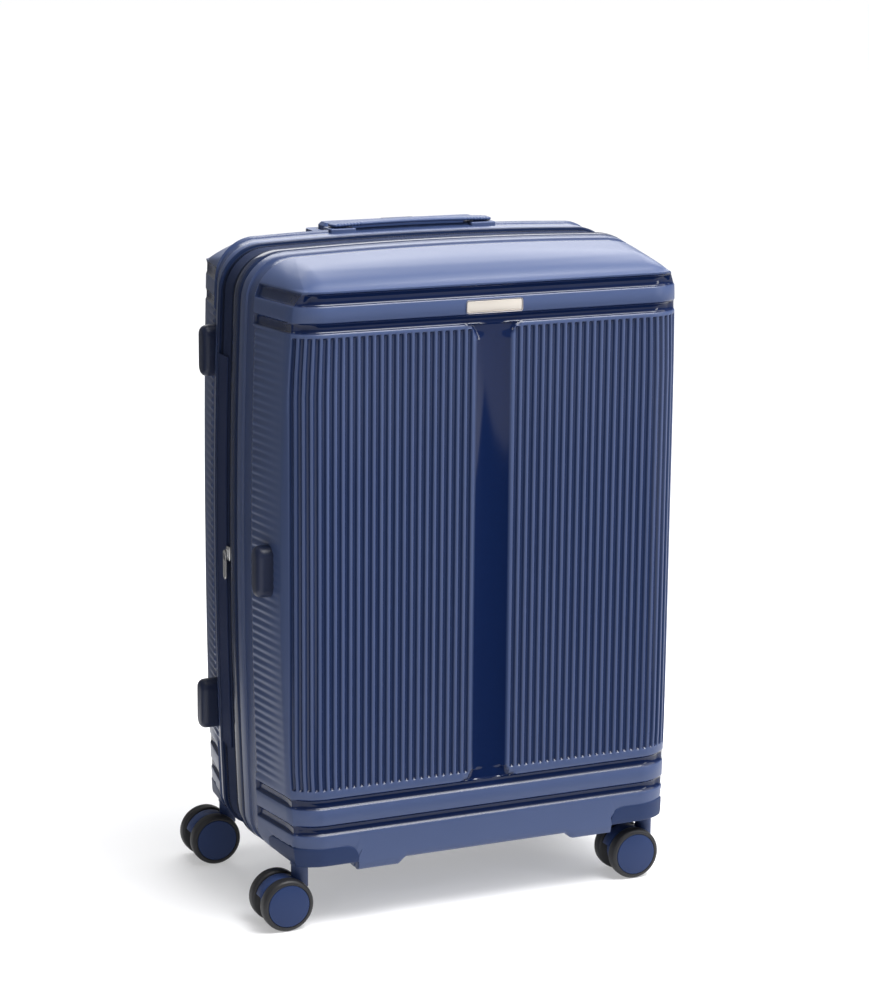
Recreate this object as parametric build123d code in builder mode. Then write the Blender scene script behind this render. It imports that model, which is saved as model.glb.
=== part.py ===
from build123d import *
import math
import os

# Overall size of the case: rims, flat faces, top and underside of the shells
case_width = 450.0
case_depth = 265.0
shell_top = 662.0
shell_bottom = 55.0
side_bow = 8.0
top_crown = 6.0
roof_drop = 12.0

# Where each shell starts, as a distance from the middle plane
front_rim_depth = 20.0
rear_rim_depth = 41.0

# Corner radii of the outline at the rim and at the flat face
rim_corner_top = 65.0
rim_corner_bottom = 60.0
face_corner_top = 30.0
face_corner_bottom = 35.0

# Flat face, wrapped corners and the crisp vertical edge on the side
face_half_width = 173.0
wrap_radius = 44.5
wrap_angle = 64.0
edge_half_width = 212.0
edge_depth = 111.0

# Sloping cap above the topmost groove: how far it steps back and rises
cap_base = 633.0
cap_steps = ((0.0, 0.0), (20.0, 16.6), (31.0, 21.6), (62.0, 29.0))

# Moulded relief
wall = 2.6
groove_depth = 3.4
groove_zones = ((96.0, 107.0), (123.0, 134.0), (594.0, 605.0), (620.0, 633.0))
rib_pitch = 8.0
rib_count = 24
rib_first = 25.5
rib_groove = 3.6
rib_floor = 1.6
rib_depth = 2.0
rib_low = 142.7
rib_high = 590.0
channel_half_width = 19.5
channel_depth = 3.2
channel_low = 134.0
channel_high = 594.0
rim_edge = 11.0
rim_recess = 15.0
recess_depth = 2.0
side_rib_depth = 2.0
side_rib_half = 1.5
side_rib_fade = 4.0
underside_half = 88.0
underside_slope = 10.0

# Rim beads, zip tapes and expander
bead_proud = 1.0
bead_inset = 6.0
bead_front_width = 18.0
shadow_gap = 1.0
shadow_depth = 1.8
rear_bead_width = 3.0
main_zip_y = 33.0
zip_gap = 0.3
tape_inset = 2.2
tape_thickness = 2.0
expander_zip_y = 5.7
expander_travel = 35.0
gusset_inset = 9.8
gusset_thickness = 1.6
gusset_cover = 6.0
gusset_flange = 4.0

# Fabric hinge on the left side
strip_low = 150.0
strip_high = 552.0
strip_front = 12.0
strip_thickness = 1.5
strip_clear = 0.3

# Linings
lining_clear = 0.5
lining_thickness = 1.2
lining_face_gap = 2.0
lining_roof_gap = 30.0
well_wall = 2.5

# Casters and wheel housings
stem_x = 192.5
stem_y = 104.0
stem_radius = 9.0
kingpin_radius = 5.0
kingpin_length = 20.0
caster_trail = 19.7
wheel_radius = 26.5
wheel_width = 14.0
wheel_gap = 18.0
tyre_chamfer = 2.0
cap_radius = 21.4
cap_thickness = 2.0
axle_radius = 3.0
fork_width = 15.0
fender_radius = 24.8
fender_thickness = 4.6
fender_angle = 18.0
web_width = 7.0
axle_boss = 8.0
running_clearance = 0.06
swivel_clearance = 0.4
guard_inner = 140.0
guard_back = 64.0
guard_low = 60.0
guard_high = 84.0
guard_corner = 15.0
guard_wall = 4.0
guard_floor = 6.0
guard_clear = 0.3
boss_radius = 10.0

# Side feet
foot_length = 52.0
foot_width = 22.0
foot_reach = 237.0
foot_round = 3.0
rear_foot_y = 66.0
rear_foot_heights = (184.0, 552.0)
front_foot_y = -82.0
front_foot_height = 361.0

# Nameplate
plate_width = 60.0
plate_height = 13.0
plate_thickness = 1.2
plate_z = 611.8

# Trolley handle
trolley_y = 104.0
tube_spacing = 140.0
tube_width = 26.0
tube_depth = 16.0
tube_round = 5.0
tube_wall = 1.2
tube_clear = 0.4
outer_low = 74.0
mid_low = 240.0
inner_low = 250.0
bezel_length = 196.0
bezel_width = 34.0
bezel_top = 661.0
bezel_round = 8.0
grip_length = 172.0
grip_width = 24.0
grip_low = 659.0
grip_high = 668.0
grip_round = 7.0
grip_clear = 0.5
button_length = 36.0
button_width = 11.0
button_travel = 4.0
button_proud = 1.0
button_clear = 0.25
bracket_length = 190.0
bracket_wall = 1.5
bracket_high = 82.0

# Carry handles
handle_y = 72.0
handle_length = 178.0
handle_width = 20.0
handle_thickness = 7.0
handle_arch = 2.0
handle_top = 670.0
handle_travel = 12.0
leg_spacing = 156.0
leg_length = 12.0
leg_width = 8.0
leg_clear = 0.3
leg_head = 20.0
leg_head_height = 4.0
anchor_length = 30.0
anchor_width = 24.0
anchor_proud = 3.0
side_handle_z = 361.0

# Zip sliders and pulls
slider_length = 14.0
slider_width = 9.0
slider_height = 4.0
pull_length = 30.0
pull_width = 8.0
pull_thickness = 1.6
pull_clear = 0.3
upper_slider_z = 545.0
lower_slider_z = 470.0
expander_slider_z = 355.0

# Lock on the right side
lock_z = 508.0
lock_height = 62.0
lock_width = 20.0
lock_y = 56.0
lock_depth = 13.0
lock_reach = 228.0
lock_round = 3.0
dial_radius = 7.0
dial_width = 5.0
dial_pitch = 9.0
dial_proud = 1.2
dial_clear = 0.3
dial_offset = 12.0
lock_button_height = 14.0
lock_button_width = 9.0
lock_button_depth = 5.0
lock_button_travel = 2.0
lock_button_proud = 2.5

half_width = case_width / 2
half_depth = case_depth / 2
middle_z = (shell_top + shell_bottom) / 2
cavity_inset = groove_depth + wall
reach = stem_x + caster_trail + wheel_radius


def outline_at(depth, rim, inset, roof_gap=0.0):
    # Rounded outline of a half at one depth, seen from the front
    share = (depth - rim) / (half_depth - rim)
    taper = (half_width - edge_half_width) * (half_depth - rim) / (edge_depth - rim)
    half = half_width - taper * share - inset
    top = shell_top - roof_drop * share - inset - roof_gap
    low = shell_bottom + inset
    top_round = max(rim_corner_top + (face_corner_top - rim_corner_top) * share - inset, 3.0)
    low_round = max(rim_corner_bottom + (face_corner_bottom - rim_corner_bottom) * share - inset, 3.0)
    middle = (top + low) / 2
    with BuildSketch(Plane.XZ.offset(depth)) as sketch:
        with BuildLine():
            Line((-half + side_bow, low), (half - side_bow, low))
            ThreePointArc((half - side_bow, low), (half, middle), (half - side_bow, top - top_crown))
            ThreePointArc((half - side_bow, top - top_crown), (0, top), (side_bow - half, top - top_crown))
            ThreePointArc((side_bow - half, top - top_crown), (-half, middle), (side_bow - half, low))
        make_face()
        corners = sketch.vertices().sort_by(Axis.Y)
        fillet(corners[2:], top_round)
        corners = sketch.vertices().sort_by(Axis.Y)
        fillet(corners[:2], low_round)
    return sketch.sketch


def plan_at(height, inset):
    # Flat face and wrapped corners, seen from above, running out past the sides
    radius = max(wrap_radius - inset, wall)
    centre = half_depth - inset - radius
    half_turn = math.radians(wrap_angle / 2)
    turn = math.radians(wrap_angle)
    mid = (face_half_width + radius * math.sin(half_turn), -centre - radius * math.cos(half_turn))
    end = (face_half_width + radius * math.sin(turn), -centre - radius * math.cos(turn))
    run = (case_width * 0.6 - end[0]) / math.cos(turn)
    far = (end[0] + run * math.cos(turn), end[1] + run * math.sin(turn))
    back = far[1] + case_depth
    with BuildSketch(Plane.XY.offset(height)) as sketch:
        with BuildLine():
            Line((-face_half_width, inset - half_depth), (face_half_width, inset - half_depth))
            ThreePointArc((face_half_width, inset - half_depth), mid, end)
            Line(end, far)
            Polyline(far, (far[0], back), (-far[0], back), (-far[0], far[1]))
            Line((-far[0], far[1]), (-end[0], end[1]))
            ThreePointArc((-end[0], end[1]), (-mid[0], mid[1]), (-face_half_width, inset - half_depth))
        make_face()
    return sketch.sketch


def outline_form(rim, start, stop, inset, roof_gap=0.0):
    # Drafted outline from one depth to another
    sections = [outline_at(start, rim, inset, roof_gap), outline_at(stop, rim, inset, roof_gap)]
    with BuildPart() as form:
        loft(sections, ruled=True)
    return form.part


def half_form(rim, start, inset, face_inset, roof_gap=0.0):
    # Plain outside of one half, front facing: flat face, wrapped corners, sloping cap and sides
    base = plan_at(shell_bottom - 10, face_inset)
    cap = [plan_at(cap_base - face_inset + rise, face_inset + back) for back, rise in cap_steps]
    sides = outline_form(rim, start, half_depth + 1, inset, roof_gap)
    with BuildPart() as form:
        extrude(base, amount=cap_base - face_inset - shell_bottom + 10)
        loft(cap, ruled=True)
        add(sides, mode=Mode.INTERSECT)
    return form.part


def side_x(depth, height, rim):
    # Half width of the drafted, bowed side at one depth and height
    taper = (half_width - edge_half_width) / (edge_depth - rim)
    bow = side_bow * ((height - middle_z) / (middle_z - shell_bottom)) ** 2
    return half_width - taper * (depth - rim) - bow


def rib_point(run, depth):
    # Point at a distance along the face from its middle, sunk by a depth
    centre = half_depth - wrap_radius
    if run <= face_half_width:
        return (run, depth - half_depth)
    turn = (run - face_half_width) / wrap_radius
    radius = wrap_radius - depth
    return (face_half_width + radius * math.sin(turn), -centre - radius * math.cos(turn))


def rib_outline(index, side):
    # One groove between two ribs, open towards the outside
    middle = rib_first + index * rib_pitch
    steps = ((-rib_groove / 2, -1), (-rib_groove / 2, 0), (-rib_floor / 2, rib_depth))
    steps = steps + ((rib_floor / 2, rib_depth), (rib_groove / 2, 0), (rib_groove / 2, -1))
    points = [rib_point(middle + along, depth) for along, depth in steps]
    return [(side * x, y) for x, y in points]


def guard_region(gap, low):
    # Space of the two wheel housings at the lower corners of a front-facing half, rounded at both ends
    inner = guard_inner + gap
    back = guard_back + gap
    top = guard_high - gap
    radius = guard_corner - gap
    bend = radius * (1 - math.sqrt(0.5))
    with BuildPart() as region:
        for side in (-1, 1):
            with BuildSketch(Plane.XZ.offset(back)):
                with BuildLine():
                    Polyline((side * case_width, top), (side * case_width, low), (side * inner, low),
                             (side * inner, top - radius))
                    ThreePointArc((side * inner, top - radius), (side * (inner + bend), top - bend),
                                  (side * (inner + radius), top))
                    Line((side * (inner + radius), top), (side * case_width, top))
                make_face()
            extrude(amount=case_depth)
        with BuildSketch(Plane.YZ.offset(-case_width)):
            with BuildLine():
                Polyline((-2 * case_depth, top), (-2 * case_depth, low), (-back, low), (-back, top - radius))
                ThreePointArc((-back, top - radius), (-back - bend, top - bend), (-back - radius, top))
                Line((-back - radius, top), (-2 * case_depth, top))
            make_face()
        extrude(amount=2 * case_width, mode=Mode.INTERSECT)
    return region.part


def make_shell(rim):
    # Ribbed moulded half, front facing
    plain = half_form(rim, rim, 0.0, 0.0)
    cavity = half_form(rim, rim - 10, cavity_inset, cavity_inset)
    sunk = half_form(rim, rim - 10, groove_depth, groove_depth)
    recessed = outline_form(rim, rim - 10, half_depth + 1, recess_depth)
    recess_start = rim + rim_edge
    recess_stop = recess_start + rim_recess
    span = case_width * 1.5
    with BuildPart() as bands:
        for low, high in groove_zones:
            with BuildSketch(Plane.XY.offset(low)):
                with Locations((0, -(recess_stop + case_depth) / 2)):
                    Rectangle(span, case_depth - recess_stop)
            extrude(amount=high - low)
        add(sunk, mode=Mode.SUBTRACT)
    with BuildPart() as recess:
        with BuildSketch(Plane.XZ.offset(recess_start)):
            with Locations((0, middle_z)):
                Rectangle(span, span)
        extrude(amount=rim_recess)
        add(recessed, mode=Mode.SUBTRACT)
    with BuildPart() as ribs:
        with BuildSketch(Plane.XY.offset(rib_low)):
            for side in (-1, 1):
                for index in range(rib_count):
                    with BuildLine():
                        Polyline(*rib_outline(index, side), close=True)
                    make_face()
        extrude(amount=rib_high - rib_low)
    with BuildPart() as channel:
        with BuildSketch(Plane.XY.offset(channel_low)):
            with BuildLine():
                ThreePointArc((-channel_half_width, -half_depth), (0, channel_depth - half_depth),
                              (channel_half_width, -half_depth))
                Polyline((channel_half_width, -half_depth), (channel_half_width, -half_depth - 1),
                         (-channel_half_width, -half_depth - 1), (-channel_half_width, -half_depth))
            make_face()
        extrude(amount=channel_high - channel_low)
    side_ribs = side_rib_combs(rim, recess_stop)
    housings = guard_region(0.0, shell_bottom - 20)
    with BuildPart() as arch:
        with BuildSketch(Plane.XZ.offset(rim - 15)):
            with BuildLine():
                Polyline((-underside_half - underside_slope, shell_bottom),
                         (-underside_half, shell_bottom + groove_depth),
                         (underside_half, shell_bottom + groove_depth),
                         (underside_half + underside_slope, shell_bottom), close=True)
            make_face()
        extrude(amount=case_depth)
    with BuildPart() as shell:
        add(plain)
        add(arch.part, mode=Mode.SUBTRACT)
        add(cavity, mode=Mode.SUBTRACT)
        add(housings, mode=Mode.SUBTRACT)
        add(recess.part, mode=Mode.SUBTRACT)
        add(bands.part, mode=Mode.SUBTRACT)
        add([channel.part, ribs.part], mode=Mode.SUBTRACT, clean=False)
        add(side_ribs, mode=Mode.SUBTRACT, clean=False)
    return shell.part


def side_rib_combs(rim, start):
    # Wedge grooves across both sides that fade out before the crisp edge, one comb a side
    stop = edge_depth - side_rib_fade
    count = int((rib_high - rib_low) / rib_pitch)
    first = (rib_high + rib_low - (count - 1) * rib_pitch) / 2
    heights = [first + index * rib_pitch for index in range(count)]
    root = side_x(start, middle_z, rim) - side_rib_depth
    tip = side_x(stop, middle_z, rim)
    back = 3 * side_rib_depth
    teeth = [(-rib_pitch, back)]
    for height in heights:
        apex = side_x(start, height, rim) - side_rib_depth - root
        base = apex + 2 * side_rib_depth
        along = height - first
        teeth.append((along - 2 * side_rib_half, base))
        teeth.append((along, apex))
        teeth.append((along + 2 * side_rib_half, base))
    teeth.append((heights[-1] - first + rib_pitch, back))
    combs = []
    for side in (-1, 1):
        run = Vector(side * (tip - root), start - stop, 0)
        place = Plane(origin=(side * root, -start, first), x_dir=(0, 0, 1), z_dir=run)
        with BuildPart() as comb:
            with BuildSketch(place):
                with BuildLine():
                    Polyline(*[(along, -side * out) for along, out in teeth], close=True)
                make_face()
            extrude(amount=run.length)
        combs.append(comb.part)
    return combs


def make_guards(rim):
    # Wheel housings that fill the lower corners, each with a boss and a bore for its kingpin
    plain = half_form(rim, rim, 0.0, 0.0)
    hollow = half_form(rim, rim - 10, guard_wall, guard_wall)
    room = guard_region(guard_clear + guard_wall, guard_low + guard_floor)
    with BuildPart() as pocket:
        add(room)
        with BuildSketch(Plane.XY.offset(guard_low)):
            with Locations((-stem_x, -stem_y), (stem_x, -stem_y)):
                Circle(boss_radius)
        extrude(amount=guard_high, mode=Mode.SUBTRACT)
        add(hollow, mode=Mode.INTERSECT)
    with BuildPart() as guards:
        add(guard_region(guard_clear, guard_low))
        add(plain, mode=Mode.INTERSECT)
        add(pocket.part, mode=Mode.SUBTRACT)
        with BuildSketch(Plane.XY.offset(guard_low)):
            with Locations((-stem_x, -stem_y), (stem_x, -stem_y)):
                Circle(kingpin_radius + running_clearance)
        extrude(amount=kingpin_length + 0.5, mode=Mode.SUBTRACT)
    return guards.part


def make_lining(rim, gap, face_inset, wells, roof_gap):
    # Fabric bowl inside one half, front facing, with room left for what stands inside the shell
    inner = gap + lining_thickness
    outside = half_form(rim, rim, gap, face_inset, roof_gap)
    inside = half_form(rim, rim - 5, inner, face_inset + lining_thickness, roof_gap)
    flange_edge = outline_at(rim, rim, gap + lining_thickness / 2)
    flange_mouth = outline_at(rim, rim, gap + lining_thickness * 0.75, roof_gap)
    with BuildPart() as room:
        add(inside)
        for low, high in wells:
            length = high[0] - low[0] + 2 * lining_thickness
            depth = high[1] - low[1] + 2 * lining_thickness
            with BuildSketch(Plane.XY.offset(low[2] - lining_thickness)):
                with Locations(((low[0] + high[0]) / 2, (low[1] + high[1]) / 2)):
                    Rectangle(length, depth)
            extrude(amount=high[2] - low[2] + 2 * lining_thickness, mode=Mode.SUBTRACT)
    # Collar at the rim that closes the space left above the bowl
    with BuildPart() as flange:
        extrude(flange_edge, amount=lining_thickness)
        extrude(flange_mouth, amount=lining_thickness, mode=Mode.SUBTRACT)
    with BuildPart() as lining:
        add(outside)
        for low, high in wells:
            with BuildSketch(Plane.XY.offset(low[2])):
                with Locations(((low[0] + high[0]) / 2, (low[1] + high[1]) / 2)):
                    Rectangle(high[0] - low[0], high[1] - low[1])
            extrude(amount=high[2] - low[2], mode=Mode.SUBTRACT)
        add(room.part, mode=Mode.SUBTRACT)
        if roof_gap > 0:
            add(flange.part)
    return lining.part


def rim_ring(y_front, y_rear, outer_inset, inner_inset):
    # Closed band round the whole case between two planes
    rim = -y_rear
    outer = outline_at(rim, rim, outer_inset)
    inner = outline_at(rim, rim, inner_inset)
    with BuildPart() as ring:
        extrude(outer, amount=y_rear - y_front)
        extrude(inner, amount=y_rear - y_front, mode=Mode.SUBTRACT)
    return ring.part


pieces = {}

# Shells and wheel housings; the rear half is the front form turned round, with a deeper rim
front_plain = half_form(front_rim_depth, front_rim_depth, 0.0, 0.0)
rear_plain = mirror(half_form(rear_rim_depth, rear_rim_depth, 0.0, 0.0), about=Plane.XZ)
front_raw = make_shell(front_rim_depth)
rear_raw = mirror(make_shell(rear_rim_depth), about=Plane.XZ)

with BuildPart() as front_shell:
    add(front_raw)
    with BuildSketch(Plane.XZ.offset(half_depth - plate_thickness)):
        with Locations((0, plate_z)):
            Rectangle(plate_width, plate_height)
    extrude(amount=plate_thickness + 1, mode=Mode.SUBTRACT)
pieces["front_shell"] = front_shell

with BuildPart() as nameplate:
    with BuildSketch(Plane.XZ.offset(half_depth - plate_thickness)):
        with Locations((0, plate_z)):
            Rectangle(plate_width, plate_height)
    extrude(amount=plate_thickness)
pieces["nameplate"] = nameplate

with BuildPart() as front_corner_guards:
    add(make_guards(front_rim_depth))
pieces["front_corner_guards"] = front_corner_guards

rear_housings = mirror(make_guards(rear_rim_depth), about=Plane.XZ)
with BuildPart() as rear_corner_guards:
    add(rear_housings)
pieces["rear_corner_guards"] = rear_corner_guards

# Rim beads and zip tapes
front_bead_rear = shadow_gap - front_rim_depth + bead_front_width
with BuildPart() as front_rim:
    add(rim_ring(shadow_gap - front_rim_depth, front_bead_rear, -bead_proud, bead_inset))
    add(rim_ring(-front_rim_depth, shadow_gap - front_rim_depth, shadow_depth, bead_inset))
    add(rim_ring(front_bead_rear, expander_zip_y - zip_gap / 2, tape_inset, tape_inset + tape_thickness))
pieces["front_rim"] = front_rim

rear_bead_front = rear_rim_depth - rear_bead_width
with BuildPart() as rear_rim:
    add(rim_ring(rear_bead_front, rear_rim_depth, -bead_proud, bead_inset))
pieces["rear_rim"] = rear_rim

with BuildPart() as main_zip_rear_tape:
    add(rim_ring(main_zip_y + zip_gap / 2, rear_bead_front, tape_inset, tape_inset + tape_thickness))
pieces["main_zip_rear_tape"] = main_zip_rear_tape

band_front = expander_zip_y + zip_gap / 2
with BuildPart() as main_zip_front_tape:
    add(rim_ring(band_front, main_zip_y - zip_gap / 2, tape_inset, tape_inset + tape_thickness))
pieces["main_zip_front_tape"] = main_zip_front_tape

gusset_front = front_bead_rear - expander_travel - gusset_cover
gusset_rear = band_front + 2 * gusset_flange
with BuildPart() as expander_gusset:
    add(rim_ring(gusset_front, gusset_rear, gusset_inset, gusset_inset + gusset_thickness))
    add(rim_ring(gusset_rear - gusset_flange, gusset_rear, tape_inset + tape_thickness, gusset_inset + 0.5))
pieces["expander_gusset"] = expander_gusset

# Fabric strip over the zip on the hinge side
strip_inside = tape_inset - strip_clear
strip_rear = rear_bead_front - strip_clear
strip_face = rim_ring(strip_front, strip_rear, strip_inside - strip_thickness, strip_inside)
with BuildPart() as hinge_strip:
    with BuildSketch(Plane.XY.offset(strip_low)):
        with Locations((-half_width, 0)):
            Rectangle(case_width / 2, case_depth)
    extrude(amount=strip_high - strip_low)
    add(strip_face, mode=Mode.INTERSECT)
pieces["hinge_strip"] = hinge_strip

# Side feet, seated on the drafted sides
with BuildPart() as rear_side_feet:
    with BuildSketch(Plane.YZ.offset(-foot_reach)):
        with Locations(*[(rear_foot_y, height) for height in rear_foot_heights]):
            SlotOverall(foot_length, foot_width, rotation=90)
    extrude(amount=foot_reach - edge_half_width + foot_round)
    chamfer(rear_side_feet.faces().sort_by(Axis.X)[:2].edges(), foot_round)
    add(rear_plain, mode=Mode.SUBTRACT)
pieces["rear_side_feet"] = rear_side_feet

with BuildPart() as front_side_foot:
    with BuildSketch(Plane.YZ.offset(-foot_reach)):
        with Locations((front_foot_y, front_foot_height)):
            SlotOverall(foot_length, foot_width, rotation=90)
    extrude(amount=foot_reach - edge_half_width + foot_round)
    chamfer(front_side_foot.faces().sort_by(Axis.X)[:1].edges(), foot_round)
    add(front_plain, mode=Mode.SUBTRACT)
pieces["front_side_foot"] = front_side_foot

# Trolley handle: bezel on the roof, three nested tubes a side, grip with a button
tube_x = tube_spacing / 2
tube_steps = [index * (tube_wall + tube_clear) for index in range(3)]


def tube_outline(grow):
    with BuildSketch(Plane.XY) as sketch:
        with Locations((-tube_x, trolley_y), (tube_x, trolley_y)):
            RectangleRounded(tube_width + 2 * grow, tube_depth + 2 * grow, tube_round + grow)
    return sketch.sketch


def tube_pair(step, low, high):
    with BuildPart() as tubes:
        extrude(tube_outline(-step).moved(Location((0, 0, low))), amount=high - low)
        extrude(tube_outline(-step - tube_wall).moved(Location((0, 0, low))), amount=high - low,
                mode=Mode.SUBTRACT)
    return tubes.part


bezel_floor = grip_low - grip_clear
with BuildPart() as trolley_bezel:
    with BuildSketch(Plane.XY.offset(shell_top - 2 * roof_drop)):
        with Locations((0, trolley_y)):
            RectangleRounded(bezel_length, bezel_width, bezel_round)
    extrude(amount=bezel_top - shell_top + 2 * roof_drop)
    with BuildSketch(Plane.XY.offset(bezel_floor)):
        with Locations((0, trolley_y)):
            RectangleRounded(grip_length + 2 * grip_clear, grip_width + 2 * grip_clear, grip_round)
    extrude(amount=bezel_top, mode=Mode.SUBTRACT)
    extrude(tube_outline(tube_clear), amount=bezel_top, mode=Mode.SUBTRACT)
    add(rear_plain, mode=Mode.SUBTRACT)
pieces["trolley_bezel"] = trolley_bezel

outer_high = bezel_floor
with BuildPart() as trolley_outer_tubes:
    add(tube_pair(tube_steps[0], outer_low, outer_high))
pieces["trolley_outer_tubes"] = trolley_outer_tubes

with BuildPart() as trolley_mid_tubes:
    add(tube_pair(tube_steps[1], mid_low, bezel_floor))
pieces["trolley_mid_tubes"] = trolley_mid_tubes

with BuildPart() as trolley_inner_tubes:
    add(tube_pair(tube_steps[2], inner_low, grip_low))
pieces["trolley_inner_tubes"] = trolley_inner_tubes

with BuildPart() as trolley_grip:
    with BuildSketch(Plane.XY.offset(grip_low)):
        with Locations((0, trolley_y)):
            RectangleRounded(grip_length, grip_width, grip_round)
    extrude(amount=grip_high - grip_low)
    chamfer(trolley_grip.faces().sort_by(Axis.Z)[-1].edges(), foot_round)
    with BuildSketch(Plane.XY.offset(grip_high)):
        with Locations((0, trolley_y)):
            RectangleRounded(button_length + 2 * button_clear, button_width + 2 * button_clear,
                             button_width / 3)
    extrude(amount=-button_travel - button_proud - button_clear, mode=Mode.SUBTRACT)
pieces["trolley_grip"] = trolley_grip

with BuildPart() as trolley_button:
    with BuildSketch(Plane.XY.offset(grip_high - button_proud)):
        with Locations((0, trolley_y)):
            RectangleRounded(button_length, button_width, button_width / 3)
    extrude(amount=2 * button_proud)
pieces["trolley_button"] = trolley_button

bracket_front = trolley_y - tube_depth / 2 - bracket_wall
bracket_back = half_depth - cavity_inset
with BuildPart() as trolley_foot_bracket:
    with BuildSketch(Plane.XY.offset(shell_bottom + cavity_inset)):
        with Locations((0, (bracket_front + bracket_back) / 2)):
            Rectangle(bracket_length, bracket_back - bracket_front)
    extrude(amount=bracket_high - shell_bottom - cavity_inset)
    extrude(tube_outline(tube_clear / 4).moved(Location((0, 0, outer_low))), amount=bracket_high,
            mode=Mode.SUBTRACT)
    add(rear_plain, mode=Mode.INTERSECT)
pieces["trolley_foot_bracket"] = trolley_foot_bracket


# Carry handles: a bar on two captive legs that slide through anchors on the shell
def handle_bar(seat, top, drop):
    # Bar along X with its top at a height, and legs that reach down to their heads
    low = top - handle_thickness
    half = handle_length / 2
    with BuildPart() as handle:
        with BuildSketch(Plane.XZ):
            with BuildLine():
                Polyline((-half, low), (-half, top - handle_arch), (0, top), (half, top - handle_arch),
                         (half, low))
                ThreePointArc((half, low), (0, low + handle_arch), (-half, low))
            make_face()
        extrude(amount=handle_width / 2, both=True)
        with BuildSketch(Plane.XY.offset(seat - drop)):
            with GridLocations(leg_spacing, 1, 2, 1):
                Rectangle(leg_length, leg_width)
        extrude(amount=drop + low - seat + handle_arch)
        with BuildSketch(Plane.XY.offset(seat - drop)):
            with GridLocations(leg_spacing, 1, 2, 1):
                Rectangle(leg_head, leg_width)
        extrude(amount=leg_head_height)
    return handle.part


def handle_anchors(seat):
    with BuildPart() as anchors:
        with BuildSketch(Plane.XY.offset(seat - 2 * anchor_proud)):
            with GridLocations(leg_spacing, 1, 2, 1):
                RectangleRounded(anchor_length, anchor_width, anchor_width / 4)
        extrude(amount=3 * anchor_proud)
        with BuildSketch(Plane.XY.offset(seat - 2 * anchor_proud)):
            with GridLocations(leg_spacing, 1, 2, 1):
                Rectangle(leg_length + 2 * leg_clear, leg_width + 2 * leg_clear)
        extrude(amount=3 * anchor_proud, mode=Mode.SUBTRACT)
    return anchors.part


def leg_holes(seat):
    with BuildPart() as holes:
        with BuildSketch(Plane.XY.offset(seat - 10 * anchor_proud)):
            with GridLocations(leg_spacing, 1, 2, 1):
                Rectangle(leg_length + 2 * leg_clear, leg_width + 2 * leg_clear)
        extrude(amount=11 * anchor_proud)
    return holes.part


roof_fall = roof_drop / (half_depth - rear_rim_depth)
roof_z = shell_top - roof_fall * (handle_y - rear_rim_depth) - top_crown * (leg_spacing / case_width) ** 2
flank_x = side_x(handle_y, side_handle_z + leg_spacing / 2, rear_rim_depth)
leg_drop = cavity_inset + handle_travel + leg_head_height + 2.0
top_place = Location((0, handle_y, 0))
side_place = Location(Plane(origin=(0, handle_y, side_handle_z), x_dir=(0, 0, -1), z_dir=(1, 0, 0)))

with BuildPart() as top_carry_handle:
    add(handle_bar(roof_z, handle_top, leg_drop).moved(top_place))
pieces["top_carry_handle"] = top_carry_handle

with BuildPart() as side_carry_handle:
    add(handle_bar(flank_x, reach, leg_drop).moved(side_place))
pieces["side_carry_handle"] = side_carry_handle

with BuildPart() as carry_handle_anchors:
    add(handle_anchors(roof_z).moved(top_place))
    add(handle_anchors(flank_x).moved(side_place))
    add(rear_plain, mode=Mode.SUBTRACT)
pieces["carry_handle_anchors"] = carry_handle_anchors

# Lock housing let into the right side, with three dials and a button
lock_back = lock_reach - lock_depth
dial_axis = lock_reach + dial_proud - dial_radius
dial_heights = [lock_z - dial_offset + (index - 1) * dial_pitch for index in range(3)]
button_z = lock_z + lock_height / 2 - lock_button_height
with BuildPart() as lock_housing:
    with BuildSketch(Plane.YZ.offset(lock_back)):
        with Locations((lock_y, lock_z)):
            RectangleRounded(lock_width, lock_height, lock_round)
    extrude(amount=lock_depth)
    chamfer(lock_housing.faces().sort_by(Axis.X)[-1].edges(), lock_round / 2)
    for height in dial_heights:
        with BuildSketch(Plane.XY.offset(height - dial_width / 2 - dial_clear)):
            with Locations((dial_axis, lock_y)):
                Circle(dial_radius + dial_clear)
        extrude(amount=dial_width + 2 * dial_clear, mode=Mode.SUBTRACT)
    with BuildSketch(Plane.YZ.offset(lock_reach + 1)):
        with Locations((lock_y, button_z)):
            RectangleRounded(lock_button_width + 2 * button_clear, lock_button_height + 2 * button_clear,
                             lock_round)
    extrude(amount=-lock_button_depth - lock_button_travel - 1, mode=Mode.SUBTRACT)
pieces["lock_housing"] = lock_housing

for index, height in enumerate(dial_heights):
    with BuildPart() as dial:
        with BuildSketch(Plane.XY.offset(height - dial_width / 2)):
            with Locations((dial_axis, lock_y)):
                Circle(dial_radius)
        extrude(amount=dial_width)
    pieces["lock_dial_" + str(index + 1)] = dial

with BuildPart() as lock_button:
    with BuildSketch(Plane.YZ.offset(lock_reach + lock_button_proud - lock_button_travel)):
        with Locations((lock_y, button_z)):
            RectangleRounded(lock_button_width, lock_button_height, lock_round - button_clear)
    extrude(amount=-lock_button_depth + lock_button_travel)
pieces["lock_button"] = lock_button

# Rear shell with its holes for tubes, handle legs and lock
with BuildPart() as rear_shell:
    add(rear_raw)
    extrude(tube_outline(tube_clear / 4).moved(Location((0, 0, middle_z))), amount=middle_z,
            mode=Mode.SUBTRACT)
    add(leg_holes(roof_z).moved(top_place), mode=Mode.SUBTRACT)
    add(leg_holes(flank_x).moved(side_place), mode=Mode.SUBTRACT)
    with BuildSketch(Plane.YZ.offset(lock_back)):
        with Locations((lock_y, lock_z)):
            RectangleRounded(lock_width, lock_height, lock_round)
    extrude(amount=lock_depth, mode=Mode.SUBTRACT)
pieces["rear_shell"] = rear_shell

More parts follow.
